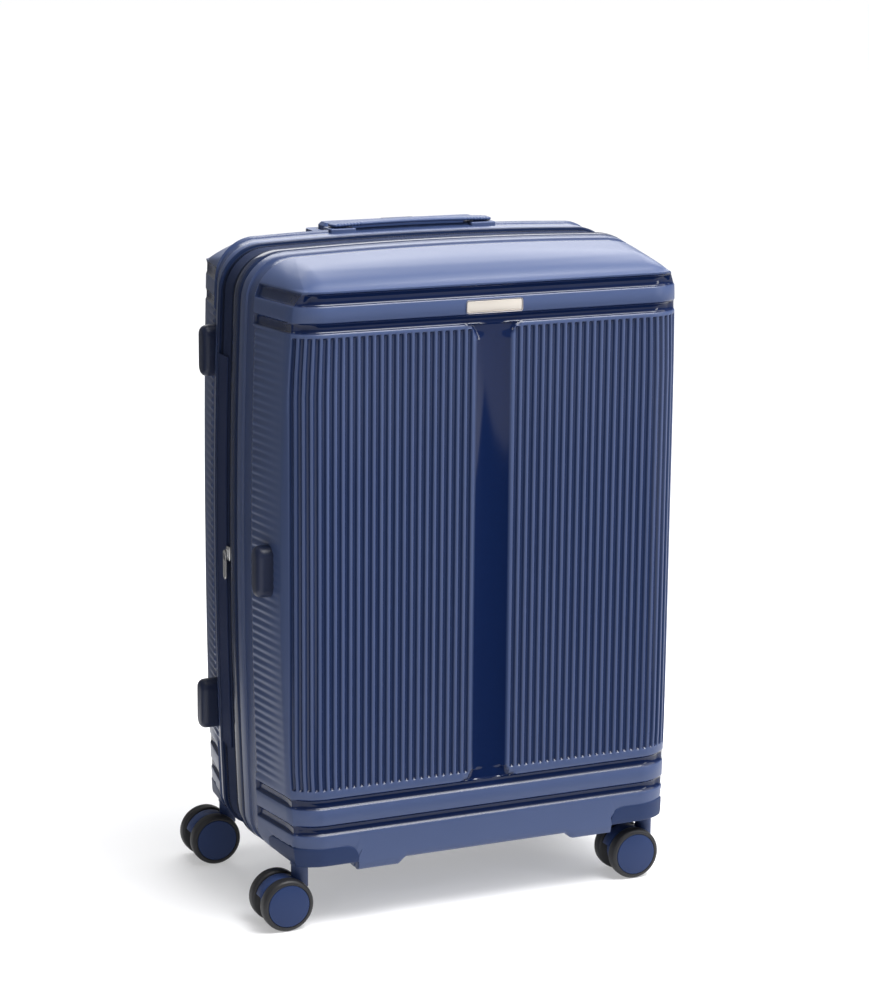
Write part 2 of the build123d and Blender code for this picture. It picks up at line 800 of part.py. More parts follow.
# Linings; boxes in them leave room for wheel housings, handle legs and lock
well_low = (guard_inner - well_wall, guard_back - well_wall)
front_wells = []
rear_wells = []
for side in (-1, 1):
    start_x = min(side * well_low[0], side * case_width)
    stop_x = max(side * well_low[0], side * case_width)
    front_wells.append(((start_x, -case_depth, 0), (stop_x, -well_low[1], guard_high + well_wall)))
    rear_wells.append(((start_x, -case_depth, 0), (stop_x, -well_low[1], guard_high + well_wall)))
    spot = side_handle_z + side * leg_spacing / 2
    deep = flank_x - leg_drop - well_wall
    rear_wells.append(((deep, -handle_y - leg_width, spot - leg_head),
                       (case_width, -handle_y + leg_width, spot + leg_head)))
lock_room = lock_width / 2 + well_wall
rear_wells.append(((lock_back - well_wall, -lock_y - lock_room, lock_z - lock_height / 2 - well_wall),
                   (case_width, -lock_y + lock_room, lock_z + lock_height / 2 + well_wall)))
rear_face_inset = half_depth - trolley_y + tube_depth / 2 + lining_face_gap

front_gap = gusset_inset + gusset_thickness + lining_clear
front_bowl = make_lining(front_rim_depth, front_gap, cavity_inset + lining_clear, front_wells, 0.0)
with BuildPart() as front_lining:
    add(front_bowl)
pieces["front_lining"] = front_lining

rear_gap = cavity_inset + lining_clear
rear_bowl = make_lining(rear_rim_depth, rear_gap, rear_face_inset, rear_wells, lining_roof_gap)
rear_bowl = mirror(rear_bowl, about=Plane.XZ)
with BuildPart() as rear_lining:
    add(rear_bowl)
pieces["rear_lining"] = rear_lining


# Zip sliders and pulls: a block over the tapes and a flat tab that hangs from it
def slider_block(y, height, seat, side):
    low = min(side * seat, side * (seat + slider_height))
    with BuildPart() as slider:
        with BuildSketch(Plane.YZ.offset(low)):
            with Locations((y, height)):
                RectangleRounded(slider_width, slider_length, slider_width / 4)
        extrude(amount=slider_height)
    return slider


def pull_tab(y, height, seat, side):
    near = seat + slider_height + pull_clear
    low = min(side * near, side * (near + pull_thickness))
    with BuildPart() as pull:
        with BuildSketch(Plane.YZ.offset(low)):
            with Locations((y, height - pull_length / 2 + pull_width / 2)):
                SlotOverall(pull_length, pull_width, rotation=90)
        extrude(amount=pull_thickness)
    return pull


def zip_seat(height):
    # Face of a slider that rides on the bowed tape at one height
    return side_x(0, height, 0) - tape_inset + zip_gap


slider_places = {
    "main_slider_upper": (main_zip_y, upper_slider_z, 1),
    "main_slider_lower": (main_zip_y, lower_slider_z, 1),
    "expander_slider": (expander_zip_y, expander_slider_z, -1),
}
for name, (y, height, side) in slider_places.items():
    pieces[name] = slider_block(y, height, zip_seat(height), side)
    pieces[name.replace("slider", "pull")] = pull_tab(y, height, zip_seat(height), side)

# Casters: fork with fender and kingpin, axle, two wheels with caps, all trailing to the left
stem_low = 2 * wheel_radius + 1
stem_top = guard_low - swivel_clearance
fender_low = wheel_radius + fender_radius * math.sin(math.radians(fender_angle))
fork_low = wheel_radius + axle_boss * 1.5
with BuildPart() as fork:
    with BuildSketch(Plane.XZ):
        with Locations((-caster_trail, wheel_radius)):
            Circle(fender_radius)
        with Locations((-caster_trail, fender_low - case_depth / 2)):
            Rectangle(case_depth, case_depth, mode=Mode.SUBTRACT)
        with Locations((-caster_trail, wheel_radius)):
            Circle(fender_radius - fender_thickness, mode=Mode.SUBTRACT)
    extrude(amount=fork_width / 2, both=True)
    with BuildSketch(Plane.XZ):
        with Locations((-caster_trail, wheel_radius)):
            Circle(axle_boss)
    extrude(amount=fork_width / 2, both=True)
    with BuildSketch(Plane.XZ):
        with BuildLine():
            Polyline((-caster_trail - axle_boss, wheel_radius),
                     (-caster_trail - axle_boss * 2, wheel_radius + axle_boss * 1.8),
                     (stem_radius, stem_low), (stem_radius, fork_low),
                     (-caster_trail + axle_boss, wheel_radius), close=True)
        make_face()
    extrude(amount=web_width / 2, both=True)
    with BuildSketch(Plane.XZ):
        with BuildLine():
            Polyline((-stem_radius, wheel_radius + axle_boss * 2.2), (-stem_radius, stem_low),
                     (stem_radius, stem_low), (stem_radius, fork_low), close=True)
        make_face()
    extrude(amount=fork_width / 2, both=True)
    with BuildSketch(Plane.XY.offset(stem_low)):
        Circle(stem_radius)
    extrude(amount=stem_top - stem_low)
    with BuildSketch(Plane.XY.offset(stem_top)):
        Circle(kingpin_radius)
    extrude(amount=kingpin_length)
    with BuildSketch(Plane.XZ):
        with Locations((-caster_trail, wheel_radius)):
            Circle(axle_radius)
    extrude(amount=fork_width, both=True, mode=Mode.SUBTRACT)

axle_half = wheel_gap / 2 + wheel_width - cap_thickness
with BuildPart() as axle:
    with BuildSketch(Plane.XZ):
        with Locations((-caster_trail, wheel_radius)):
            Circle(axle_radius)
    extrude(amount=axle_half - running_clearance, both=True)

cap_face = wheel_gap / 2 + wheel_width - cap_thickness
with BuildPart() as wheel:
    with BuildSketch(Plane.XZ.offset(wheel_gap / 2)):
        with Locations((-caster_trail, wheel_radius)):
            Circle(wheel_radius)
    extrude(amount=wheel_width)
    chamfer(wheel.edges().filter_by(GeomType.CIRCLE), tyre_chamfer)
    with BuildSketch(Plane.XZ.offset(cap_face)):
        with Locations((-caster_trail, wheel_radius)):
            Circle(cap_radius)
    extrude(amount=cap_thickness, mode=Mode.SUBTRACT)
    with BuildSketch(Plane.XZ):
        with Locations((-caster_trail, wheel_radius)):
            Circle(axle_radius + running_clearance)
    extrude(amount=case_depth, mode=Mode.SUBTRACT)

with BuildPart() as wheel_cap:
    with BuildSketch(Plane.XZ.offset(cap_face)):
        with Locations((-caster_trail, wheel_radius)):
            Circle(cap_radius)
    extrude(amount=cap_thickness)

turned_wheel = mirror(wheel.part, about=Plane.XZ)
turned_cap = mirror(wheel_cap.part, about=Plane.XZ)
corner_signs = {"front_left": (-1, -1), "front_right": (1, -1), "rear_left": (-1, 1), "rear_right": (1, 1)}
for corner, (x_sign, y_sign) in corner_signs.items():
    place = Location((x_sign * stem_x, y_sign * stem_y, 0))
    with BuildPart() as placed_fork:
        add(fork.part.moved(place))
    pieces[corner + "_fork"] = placed_fork
    with BuildPart() as placed_axle:
        add(axle.part.moved(place))
    pieces[corner + "_axle"] = placed_axle
    with BuildPart() as near_wheel:
        add(wheel.part.moved(place))
    pieces[corner + "_wheel_a"] = near_wheel
    with BuildPart() as far_wheel:
        add(turned_wheel.moved(place))
    pieces[corner + "_wheel_b"] = far_wheel
    with BuildPart() as near_cap:
        add(wheel_cap.part.moved(place))
    pieces[corner + "_cap_a"] = near_cap
    with BuildPart() as far_cap:
        add(turned_cap.moved(place))
    pieces[corner + "_cap_b"] = far_cap

os.makedirs("parts", exist_ok=True)
for name, piece in pieces.items():
    piece.part.label = name
    export_step(piece.part, "parts/" + name + ".step")
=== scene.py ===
import functools
import math
import bpy
import bmesh
from mathutils import Matrix, Vector


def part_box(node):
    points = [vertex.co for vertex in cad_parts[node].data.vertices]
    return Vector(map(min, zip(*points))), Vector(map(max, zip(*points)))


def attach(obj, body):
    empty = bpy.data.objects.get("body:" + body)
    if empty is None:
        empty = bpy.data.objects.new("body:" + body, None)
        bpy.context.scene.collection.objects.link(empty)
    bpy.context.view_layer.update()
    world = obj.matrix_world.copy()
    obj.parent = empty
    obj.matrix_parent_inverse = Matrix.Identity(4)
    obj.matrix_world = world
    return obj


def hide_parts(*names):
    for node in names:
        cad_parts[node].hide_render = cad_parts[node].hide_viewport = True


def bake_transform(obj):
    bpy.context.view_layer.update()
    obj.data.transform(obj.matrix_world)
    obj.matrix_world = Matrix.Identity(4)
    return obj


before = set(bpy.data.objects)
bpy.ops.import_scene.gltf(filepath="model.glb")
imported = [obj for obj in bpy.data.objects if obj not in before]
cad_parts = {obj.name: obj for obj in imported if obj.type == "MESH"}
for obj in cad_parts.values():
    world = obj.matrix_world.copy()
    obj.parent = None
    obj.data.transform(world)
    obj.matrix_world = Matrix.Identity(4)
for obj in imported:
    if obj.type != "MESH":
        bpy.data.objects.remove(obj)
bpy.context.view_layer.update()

mm = 0.001
print("frame loaded")

# plain form of the case in millimetres, shared by shells and rims; depth runs outwards from the zip
caseForm = {
    "halfWidth": 225.0, "halfDepth": 132.5, "top": 662.0, "low": 55.0,
    "sideBow": 8.0, "crown": 6.0, "frontRim": 20.0, "rearRim": 41.0, "frontFall": 12.0, "rearFall": -14.0,
    "edgeHalf": 212.0, "edgeDepth": 111.0, "edgeRound": 1.2, "baseRound": 5.0, "baseFrom": (84.0, 62.0),
    "faceHalf": 173.0, "wrapRadius": 44.5, "wrapAngle": 64.0,
    "rimCornerTop": 42.0, "rimCornerLow": 36.0, "faceCornerTop": 30.0, "faceCornerLow": 14.0,
    "frontCap": ((633.0, 0.0), (649.6, 20.0), (654.6, 31.0), (662.0, 62.0), (672.0, 104.0)),
    "rearCap": ((633.0, 0.0), (646.0, 18.0), (654.0, 34.0), (667.5, 57.0), (678.0, 80.0)),
    "crownSoft": 24.0, "crownFrom": (631.0, 650.0), "capSoft": 5.0, "capFrom": (633.0, 645.0),
}


def along(pairs, t):
    # straight runs between listed values
    if t <= pairs[0][0]:
        return pairs[0][1]
    for (t0, v0), (t1, v1) in zip(pairs, pairs[1:]):
        if t <= t1:
            return v0 + (v1 - v0) * (t - t0) / (t1 - t0)
    return pairs[-1][1]


def ease(a, b, t):
    k = min(max((t - a) / (b - a), 0.0), 1.0)
    return k * k * (3 - 2 * k)


def roundedMax(a, b, r):
    u = a + r
    v = b + r
    if u > 0 and v > 0:
        return math.hypot(u, v) - r
    return max(a, b)


def lastInside(outside, low, high):
    # halves a range down to the last value that isn't outside
    for step in range(34):
        middle = (low + high) / 2
        if outside(middle):
            high = middle
        else:
            low = middle
    return low


def outlineGap(x, z, d, rim):
    # distance outside the rounded outline at one depth
    f = caseForm
    share = (d - rim) / (f["halfDepth"] - rim)
    half = f["halfWidth"] - (f["halfWidth"] - f["edgeHalf"]) * (d - rim) / (f["edgeDepth"] - rim)
    fall = f["rearFall"] if rim == f["rearRim"] else f["frontFall"]
    top = f["top"] - fall * share
    low = f["low"]
    mid = (top + low) / 2
    bow = f["sideBow"] * ((z - mid) / (top - mid)) ** 2
    side = abs(x) + bow - half
    if z > mid:
        r = f["rimCornerTop"] + (f["faceCornerTop"] - f["rimCornerTop"]) * share
        return roundedMax(side, z + f["crown"] * (x / half) ** 2 - top, r)
    r = f["rimCornerLow"] + (f["faceCornerLow"] - f["rimCornerLow"]) * share
    return roundedMax(side, low - z, r)


turnLimit = math.radians(caseForm["wrapAngle"])


def faceGap(x, z, d, rim):
    # distance in front of the face, its wrapped corners and the cap
    f = caseForm
    r = f["wrapRadius"]
    centre = f["halfDepth"] - r
    ax = abs(x)
    if ax <= f["faceHalf"]:
        gap = d - f["halfDepth"]
    elif math.atan2(ax - f["faceHalf"], d - centre) < turnLimit and d > centre:
        gap = math.hypot(ax - f["faceHalf"], d - centre) - r
    else:
        gap = (ax - f["faceHalf"]) * math.sin(turnLimit) + (d - centre) * math.cos(turnLimit) - r
    cap = f["rearCap"] if rim == f["rearRim"] else f["frontCap"]
    reach = f["capSoft"] * ease(*f["capFrom"], z)
    return gap + (along(cap, z - reach) + 2 * along(cap, z) + along(cap, z + reach)) / 4


def bodyGap(x, z, d, rim):
    # crisp between face and side, soft on the crown and round at the base
    f = caseForm
    a, b = outlineGap(x, z, d, rim), faceGap(x, z, d, rim)
    soft = 0.1 + f["crownSoft"] * ease(*f["crownFrom"], z)
    blend = max(1 - abs(a - b) / soft, 0.0) ** 2 * soft / 4
    return max(roundedMax(a, b, f["edgeRound"] + f["baseRound"] * ease(*f["baseFrom"], z)), max(a, b) + blend)


def bodyNormal(x, z, d, rim):
    e = 0.02
    g = Vector((bodyGap(x + e, z, d, rim) - bodyGap(x - e, z, d, rim),
                bodyGap(x, z, d + e, rim) - bodyGap(x, z, d - e, rim),
                bodyGap(x, z + e, d, rim) - bodyGap(x, z - e, d, rim)))
    return g.normalized()


def castOut(start, way, rim):
    # where a line from inside the case meets its plain surface; points are (x, depth, z)
    def outside(t):
        p = start + way * t
        return bodyGap(p.x, p.z, p.y, rim) > 0

    return start + way * lastInside(outside, 0.0, 400.0)


def outlinePoint(x, z, wayX, wayZ, d, rim):
    # where a line across one depth meets the outline
    t = lastInside(lambda t: outlineGap(x + wayX * t, z + wayZ * t, d, rim) > 0, 0.0, 420.0)
    return x + wayX * t, z + wayZ * t


@functools.lru_cache(maxsize=None)
def sideX(z, d, rim):
    return lastInside(lambda x: outlineGap(x, z, d, rim) > 0, 60.0, 240.0)


def facePoint(run):
    # point on the face at a distance from its middle, measured along it
    f = caseForm
    if abs(run) <= f["faceHalf"]:
        return (run, f["halfDepth"])
    turn = (abs(run) - f["faceHalf"]) / f["wrapRadius"]
    x = f["faceHalf"] + f["wrapRadius"] * math.sin(turn)
    return (math.copysign(x, run), f["halfDepth"] - f["wrapRadius"] * (1 - math.cos(turn)))


@functools.lru_cache(maxsize=None)
def edgeRun(z, rim):
    # where the face meets the side at one height
    def outside(run):
        x, d = facePoint(run)
        return x > sideX(z, d, rim)

    first = caseForm["faceHalf"]
    return lastInside(outside, first, first + caseForm["wrapRadius"] * turnLimit)


def runLengths(path):
    lengths = [0.0]
    for p, q in zip(path, path[1:]):
        lengths.append(lengths[-1] + (q - p).length)
    return lengths


def pointsAlong(path, lengths, shares):
    # points at growing shares of a path's length
    points = []
    i = 0
    for share in shares:
        target = share * lengths[-1]
        while i < len(lengths) - 2 and lengths[i + 1] < target:
            i += 1
        points.append(path[i].lerp(path[i + 1], (target - lengths[i]) / (lengths[i + 1] - lengths[i])))
    return points


# relief of the moulding
reliefForm = {
    "grooves": ((96.0, 107.0), (123.0, 134.0), (594.0, 605.0), (620.0, 633.0)),
    "grooveCut": ((-0.7, 0.0), (0.0, 0.35), (0.9, 1.7), (2.0, 2.9), (3.6, 3.35), (5.5, 3.4)),
    "grooveEnd": 0.3, "grooveRoom": 11.0,
    "ribFirst": 25.5, "ribPitch": 8.0, "ribCount": 24, "ribLow": 142.7, "ribHigh": 590.0, "ribDepth": 2.4,
    "ribCut": ((0.0, 1.0), (1.1, 0.95), (1.8, 0.6), (2.3, 0.22), (3.0, 0.0)),
    "ribEnds": ((-0.8, 0.0), (0.0, 0.5), (0.9, 1.0)),
    "panelEdge": 20.6, "panelLow": 134.7, "panelHigh": 593.3, "panelCorner": 10.0,
    "cornerCut": ((0.0, 0.0), (0.9, 1.3), (2.0, 2.5), (4.0, 3.1)),
    "channelCut": ((0.0, 3.3), (6.0, 3.05), (12.0, 2.35), (17.0, 1.2), (19.5, 0.35), (20.6, 0.0)),
    "channelEnds": ((126.0, 0.0), (134.0, 1.0), (594.0, 1.0), (602.0, 0.0)),
    "channelRuns": (0.0, 4.0, 8.0, 12.0, 15.0, 17.5, 19.5, 20.6),
    "sidePitch": 8.0, "sideDepth": 1.8, "sideFade": 106.0, "sideSteps": (0.0, 1.3, 2.6, 4.0, 5.4, 6.7),
    "recess": (11.0, 26.0), "recessDepth": 2.0, "recessCut": ((-0.4, 0.0), (0.0, 0.3), (0.8, 1.7), (1.6, 2.0)),
    "plainRows": (93.0, 115.0, 138.0, 144.7, 146.5, 149.5, 583.0, 586.0, 588.2, 612.5, 634.6),
}


def grooveDepth(z):
    f = reliefForm
    deepest = 0.0
    for low, high in f["grooves"]:
        deepest = max(deepest, along(f["grooveCut"], min(z - low, high - z)))
    return deepest


def frontDepth(run, z, room):
    # room is what is left to the crisp edge, where the cross grooves run out
    f = reliefForm
    depth = grooveDepth(z) * (f["grooveEnd"] + (1 - f["grooveEnd"]) * ease(0, f["grooveRoom"], room))
    ax = abs(run)
    reach = f["panelCorner"]
    inX = f["panelEdge"] + reach - ax
    inZ = max(z - f["panelHigh"], f["panelLow"] - z) + reach
    if inX > 0 and 0 < inZ < reach + 0.8:
        depth = max(depth, along(f["cornerCut"], math.hypot(inX, inZ) - reach))
    index = min(max(round((ax - f["ribFirst"]) / f["ribPitch"]), 0), f["ribCount"] - 1)
    off = abs(ax - f["ribFirst"] - index * f["ribPitch"])
    ends = along(f["ribEnds"], min(z - f["ribLow"], f["ribHigh"] - z))
    depth = max(depth, f["ribDepth"] * ends * along(f["ribCut"], off))
    return max(depth, along(f["channelEnds"], z) * along(f["channelCut"], ax))


def sideDepth(z, d, rim):
    f = reliefForm
    o = d - rim
    low, high = f["recess"]
    depth = along(f["recessCut"], min(o - low, high - o))
    depth = max(depth, grooveDepth(z) * ease(high, high + 2.5, o))
    if f["ribLow"] - 1 < z < f["ribHigh"] + 1 and o > low + 2:
        u = abs((z - f["ribLow"]) / f["sidePitch"] % 1.0 - 0.5) * 2
        cap = high + 4.0
        reach = math.hypot((cap - o) / 4.0, u) if o < cap else u
        fade = min(max((f["sideFade"] - d) / (f["sideFade"] - rim - cap), 0.0), 1.0)
        bulge = f["sideDepth"] * fade * 0.5 * (1 - math.cos(math.pi * min(reach, 1.0)))
        depth = max(depth, bulge) if o > high else max(depth, f["recessDepth"])
    return depth


guardForm = {
    "inner": 140.0, "back": 64.0, "low": 64.0, "high": 84.0, "corner": 15.0, "proud": 0.2, "seam": 0.4,
    "edge": ((4.0, 0.0), (1.4, 0.0), (0.6, -0.2), (0.15, -0.7), (0.0, -1.6)),
    "foot": ((0.3, 1.6), (0.9, 0.7), (2.0, 0.15), (4.0, 0.0), (30.0, 0.0)),
}


def guardTop(run):
    # height of a wheel housing's rounded upper edge, by the distance from its end
    f = guardForm
    left = max(f["corner"] - max(run, 0.0), 0.0)
    return f["high"] - f["corner"] + math.sqrt(f["corner"] ** 2 - left ** 2)


def underGuard(x, z, d):
    f = guardForm
    inX, inD = abs(x) - f["inner"], d - f["back"]
    if min(inX, inD) < f["seam"]:
        return False
    return z < min(guardTop(inX), guardTop(inD)) - f["seam"]


# land is the moulding's own navy; the groove colours are far darker, painted shade in the grooves and recesses, with
# the grain's random tone in both
shellLook = {
    "land": (0.046, 0.068, 0.150), "landDark": (0.040, 0.060, 0.134),
    "groove": (0.0028, 0.0095, 0.044), "grooveShadedDark": (0.0022, 0.008, 0.038),
    "landRough": 0.34, "grooveRough": 0.07, "reflection": 0.26, "ribPolishAndShade": 0.72,
}


def shellRows():
    # heights of the coarse rows on the face and of the fine rows on the sides
    f = reliefForm
    coarse = list(f["plainRows"]) + [160.0 + 22.0 * k for k in range(20)]
    for low, high in f["grooves"]:
        for step, cut in f["grooveCut"][:-1]:
            coarse += [low + step, high - step]
    for step, share in f["ribEnds"]:
        coarse += [f["ribLow"] + step, f["ribHigh"] - step]
    coarse.sort()
    fine = set(coarse)
    for k in range(int((f["ribHigh"] - f["ribLow"]) / f["sidePitch"]) + 1):
        heights = [f["ribLow"] + k * f["sidePitch"] + u for u in f["sideSteps"]]
        fine.update(round(z, 4) for z in heights if z < f["ribHigh"])
    fine = sorted(fine)
    kept = [fine[0]]
    for z in fine[1:]:
        if z - kept[-1] > 0.25 or z in coarse:
            kept.append(z)
    return coarse, kept


def faceRuns():
    f = reliefForm
    half = list(f["channelRuns"])
    offsets = [off for off, share in f["ribCut"][1:]]
    for k in range(f["ribCount"]):
        centre = f["ribFirst"] + k * f["ribPitch"]
        half += [centre - u for u in reversed(offsets)] + [centre + u for u in offsets]
    return [-u for u in reversed(half[1:])] + half


def point(bm, x, y, z):
    return bm.verts.new((x * mm, y * mm, z * mm))


def bridge(bm, rows, closed=True):
    # faces between neighbouring rows of points
    for a, b in zip(rows, rows[1:]):
        for k in range(len(a) if closed else len(a) - 1):
            n = (k + 1) % len(a)
            corners = list(dict.fromkeys((a[k], a[n], b[n], b[k])))
            if len(corners) > 2:
                bm.faces.new(corners)


def closedTube(bm, rings):
    bridge(bm, rings)
    bm.faces.new(rings[0][::-1])
    bm.faces.new(rings[-1])


def addBox(bm, size, centre, rounding=0.0, segments=3):
    made = bmesh.ops.create_cube(bm, size=1.0)["verts"]
    bmesh.ops.scale(bm, verts=made, vec=[v * mm for v in size])
    bmesh.ops.translate(bm, verts=made, vec=[v * mm for v in centre])
    if rounding:
        edges = list(dict.fromkeys(e for v in made for e in v.link_edges))
        bmesh.ops.bevel(bm, geom=edges, offset=rounding * mm, segments=segments, profile=0.5, affect="EDGES")


def newPiece(name, bm, turnFaces=True):
    if turnFaces:
        bmesh.ops.recalc_face_normals(bm, faces=bm.faces)
    mesh = bpy.data.meshes.new(name)
    bm.to_mesh(mesh)
    bm.free()
    piece = bpy.data.objects.new(name, mesh)
    bpy.context.collection.objects.link(piece)
    return piece


# how a shell's surface is laid out: steps are distances from the rim, turns go from the belt to the rim strip
shellForm = {
    "edgeRoom": 1.2, "squeezeFrom": 150.0, "sideStart": 27.0, "sideEnd": 105.0,
    "edgeCut": 0.3, "guardDepth": 1.3, "lift": 6.5, "liftHalf": (98.0, 88.0), "liftHeight": (72.0, 57.0),
    "liftStart": 8.0, "liftStop": 45.0, "crownAnchor": 600.0, "baseAnchor": 130.0, "anchorShare": 0.78,
    "anchorDepth": 40.0, "sideWalk": 0.62,
    "crownTurns": (.03, .06, .1, .14, .18, .22, .26, .3, .34, .38, .42, .47, .53, .6, .68, .77, .88, 1.0),
    "baseTurns": (.06, .12, .17, .21, .24, .27, .30, .34, .4, .5, .62, .76, .88, 1.0),
    "recessSteps": (26.4, 25.9, 25.2, 24.2, 12.8, 11.8, 11.2, 10.7, 9.6, 1.0),
    "lipSteps": ((0.3, 0.3), (0.0, 1.0), (0.0, 6.0)),
    # these values set the real gloss and also painted shade: the same factor turns the colour far darker in deep
    # grooves, the side grooves, the recess and the lip
    "polishAndShadeDepth": 0.9, "sidePolishAndShade": 0.8, "recessPolishAndShade": 0.35, "rimPolishAndShade": 0.15,
}


def buildShell(name, rim, ySign):
    f = shellForm
    bm = bmesh.new()
    glossAndShadeLayer = bm.verts.layers.float.new("polish")
    coarse, fine = shellRows()
    runs = faceRuns()
    lastRun = runs[-1]
    edges = {z: edgeRun(z, rim) for z in fine}

    def vert(x, d, z, depth, polish):
        n = bodyNormal(x, z, d, rim)
        if underGuard(x, z, d):
            depth = max(depth, f["guardDepth"])
            if z < guardForm["low"] + 2:
                n = Vector((0, 0, -1))
                depth = guardForm["low"] + 3 - z
        p = Vector((x, d, z)) - n * depth
        lift = f["lift"] * ease(*f["liftHalf"], abs(x)) * ease(*f["liftHeight"], z)
        lift *= ease(rim + f["liftStart"], rim + f["liftStop"], d)
        v = point(bm, p.x, p.y * ySign, p.z + lift)
        v[glossAndShadeLayer] = polish
        return v

    def polishAndShadeOf(depth):
        # gloss and painted shade grow with the depth of a groove
        return min(depth / f["polishAndShadeDepth"], 1.0)

    def squeezedRuns(z):
        # the row's last place and its runs, drawn together near the crisp edge
        limit = min(edges[z] - f["edgeRoom"], lastRun)
        first = f["squeezeFrom"]
        scale = (limit - first) / (lastRun - first)
        placed = [math.copysign(min(abs(u), first) + max(abs(u) - first, 0.0) * scale, u) for u in runs]
        return limit, placed

    # face, in coarse rows
    face = []
    for z in coarse:
        limit, placed = squeezedRuns(z)
        row = []
        for run, r in zip(runs, placed):
            depth = frontDepth(run, z, limit - abs(r))
            ribbed = reliefForm["ribLow"] < z < reliefForm["ribHigh"] and abs(run) > reliefForm["panelEdge"]
            # gloss and painted shade in the face's grooves, weaker among the ribs
            polish = polishAndShadeOf(depth) * (shellLook["ribPolishAndShade"] if ribbed else 1.0)
            row.append(vert(*facePoint(r), z, depth, polish))
        face.append(row)
    bridge(bm, face, False)

    # sides, in fine rows, from the crisp edge back to the recess
    back = rim + f["sideStart"]
    depths = [back + step for step in (0, 1, 2, 3, 6)]
    depths += [back + 6 + (f["sideEnd"] - back - 6) * k / 5 for k in range(1, 6)]
    sides = {}
    for s in (-1, 1):
        rows = []
        for z in fine:
            # gloss and painted shade in the side's cross grooves
            polish = polishAndShadeOf(grooveDepth(z)) * f["sidePolishAndShade"]
            row = [vert(s * sideX(z, d, rim), d, z, sideDepth(z, d, rim), polish) for d in depths]
            depth = grooveDepth(z) * f["edgeCut"]
            row.append(vert(*facePoint(s * edges[z]), z, depth, polishAndShadeOf(depth)))
            rows.append(row)
        bridge(bm, rows if s < 0 else [row[::-1] for row in rows], False)
        sides[s] = rows
        # strip that joins the fine rows to the coarse rows along the crisp edge
        col = 0 if s < 0 else -1
        for k in range(len(coarse) - 1):
            i0, i1 = fine.index(coarse[k]), fine.index(coarse[k + 1])
            loop = [rows[i][-1] for i in range(i0, i1 + 1)] + [face[k + 1][col], face[k][col]]
            bm.faces.new(loop if s > 0 else loop[::-1])

    # crown over the top and base below, fanned from the belt to the rim strip
    def cap(index, anchorZ, sign, turns):
        z0 = fine[index]
        start = sides[-1][index] + face[index] + sides[1][index][::-1]
        belt = [-edges[z0]] + squeezedRuns(z0)[1] + [edges[z0]]
        base = [Vector((-sideX(z0, d, rim), d, z0)) for d in depths]
        base += [Vector((*facePoint(run), z0)) for run in belt]
        base += [Vector((sideX(z0, d, rim), d, z0)) for d in reversed(depths)]
        # points of the rim strip's edge, spread along its arc
        first = math.atan2(abs(z0 - anchorZ), sideX(z0, back, rim))
        arc = []
        for k in range(721):
            a = first + (math.pi - 2 * first) * k / 720
            x, z = outlinePoint(0.0, anchorZ, -math.cos(a), sign * math.sin(a), back, rim)
            arc.append(Vector((x, back, z)))
        walk = [0.0]
        for k, (p, q) in enumerate(zip(base, base[1:])):
            onSide = k < len(depths) or k >= len(base) - 1 - len(depths)
            walk.append(walk[-1] + (q - p).length * (f["sideWalk"] if onSide else 1.0))
        ends = pointsAlong(arc, runLengths(arc), [w / walk[-1] for w in walk])
        ends[0], ends[-1] = base[0].copy(), base[-1].copy()
        rows = [start]
        for turn in turns:
            row = [start[0]]
            for foot, end in zip(base[1:-1], ends[1:-1]):
                anchor = Vector((end.x * f["anchorShare"], rim + f["anchorDepth"], anchorZ))
                wayA, wayB = (foot - anchor).normalized(), (end - anchor).normalized()
                p = castOut(anchor, wayA.slerp(wayB, turn), rim) if turn < 1 else end
                row.append(vert(*p, 0.0, 0.0))
            rows.append(row + [start[-1]])
        bridge(bm, rows if sign > 0 else rows[::-1], False)
        return rows[-1], ends

    crownRow, crownEnds = cap(-1, f["crownAnchor"], 1, f["crownTurns"])
    baseRow, baseEnds = cap(0, f["baseAnchor"], -1, f["baseTurns"])

    # rim strip: edge, recess and the lip that turns in behind the bead
    loop = [(row[0], "side", -1, z) for row, z in zip(sides[-1], fine)]
    loop += [(v, "arc", f["crownAnchor"], end) for v, end in zip(crownRow[1:-1], crownEnds[1:-1])]
    loop += [(row[0], "side", 1, z) for row, z in zip(sides[1][::-1], fine[::-1])]
    loop += [(v, "arc", f["baseAnchor"], end) for v, end in zip(baseRow[-2:0:-1], baseEnds[-2:0:-1])]
    rings = [[entry[0] for entry in loop]]
    low, high = reliefForm["recess"]
    for o, lip in [(o, None) for o in f["recessSteps"]] + list(f["lipSteps"]):
        d = rim + o
        # gloss and painted shade: strong in the recess, slight on the rim edge and the lip
        polish = f["recessPolishAndShade"] if low < o < high else f["rimPolishAndShade"]
        ring = []
        for start, kind, where, at in loop:
            if kind == "side":
                x, z = where * sideX(at, d, rim), at
            else:
                anchorX = at.x * f["anchorShare"]
                way = Vector((at.x - anchorX, at.z - where)).normalized()
                x, z = outlinePoint(anchorX, where, way.x, way.y, d, rim)
            depth = lip or sideDepth(z if kind == "side" else 0.0, d, rim)
            ring.append(vert(x, d, z, depth, polish))
        rings.append(ring)
    bridge(bm, rings)
    bmesh.ops.remove_doubles(bm, verts=bm.verts, dist=0.00001)
    return newPiece(name, bm)


def smoothShade(piece, degrees=38):
    bpy.ops.object.select_all(action="DESELECT")
    piece.select_set(True)
    bpy.context.view_layer.objects.active = piece
    bpy.ops.object.shade_smooth_by_angle(angle=math.radians(degrees))


# shared effects
def newGroup(name, inputs, outputs):
    group = bpy.data.node_groups.new(name, "ShaderNodeTree")
    for label, kind, value in inputs:
        group.interface.new_socket(label, in_out="INPUT", socket_type=kind).default_value = value
    for label, kind in outputs:
        group.interface.new_socket(label, in_out="OUTPUT", socket_type=kind)
    return group, group.nodes.new("NodeGroupInput"), group.nodes.new("NodeGroupOutput")


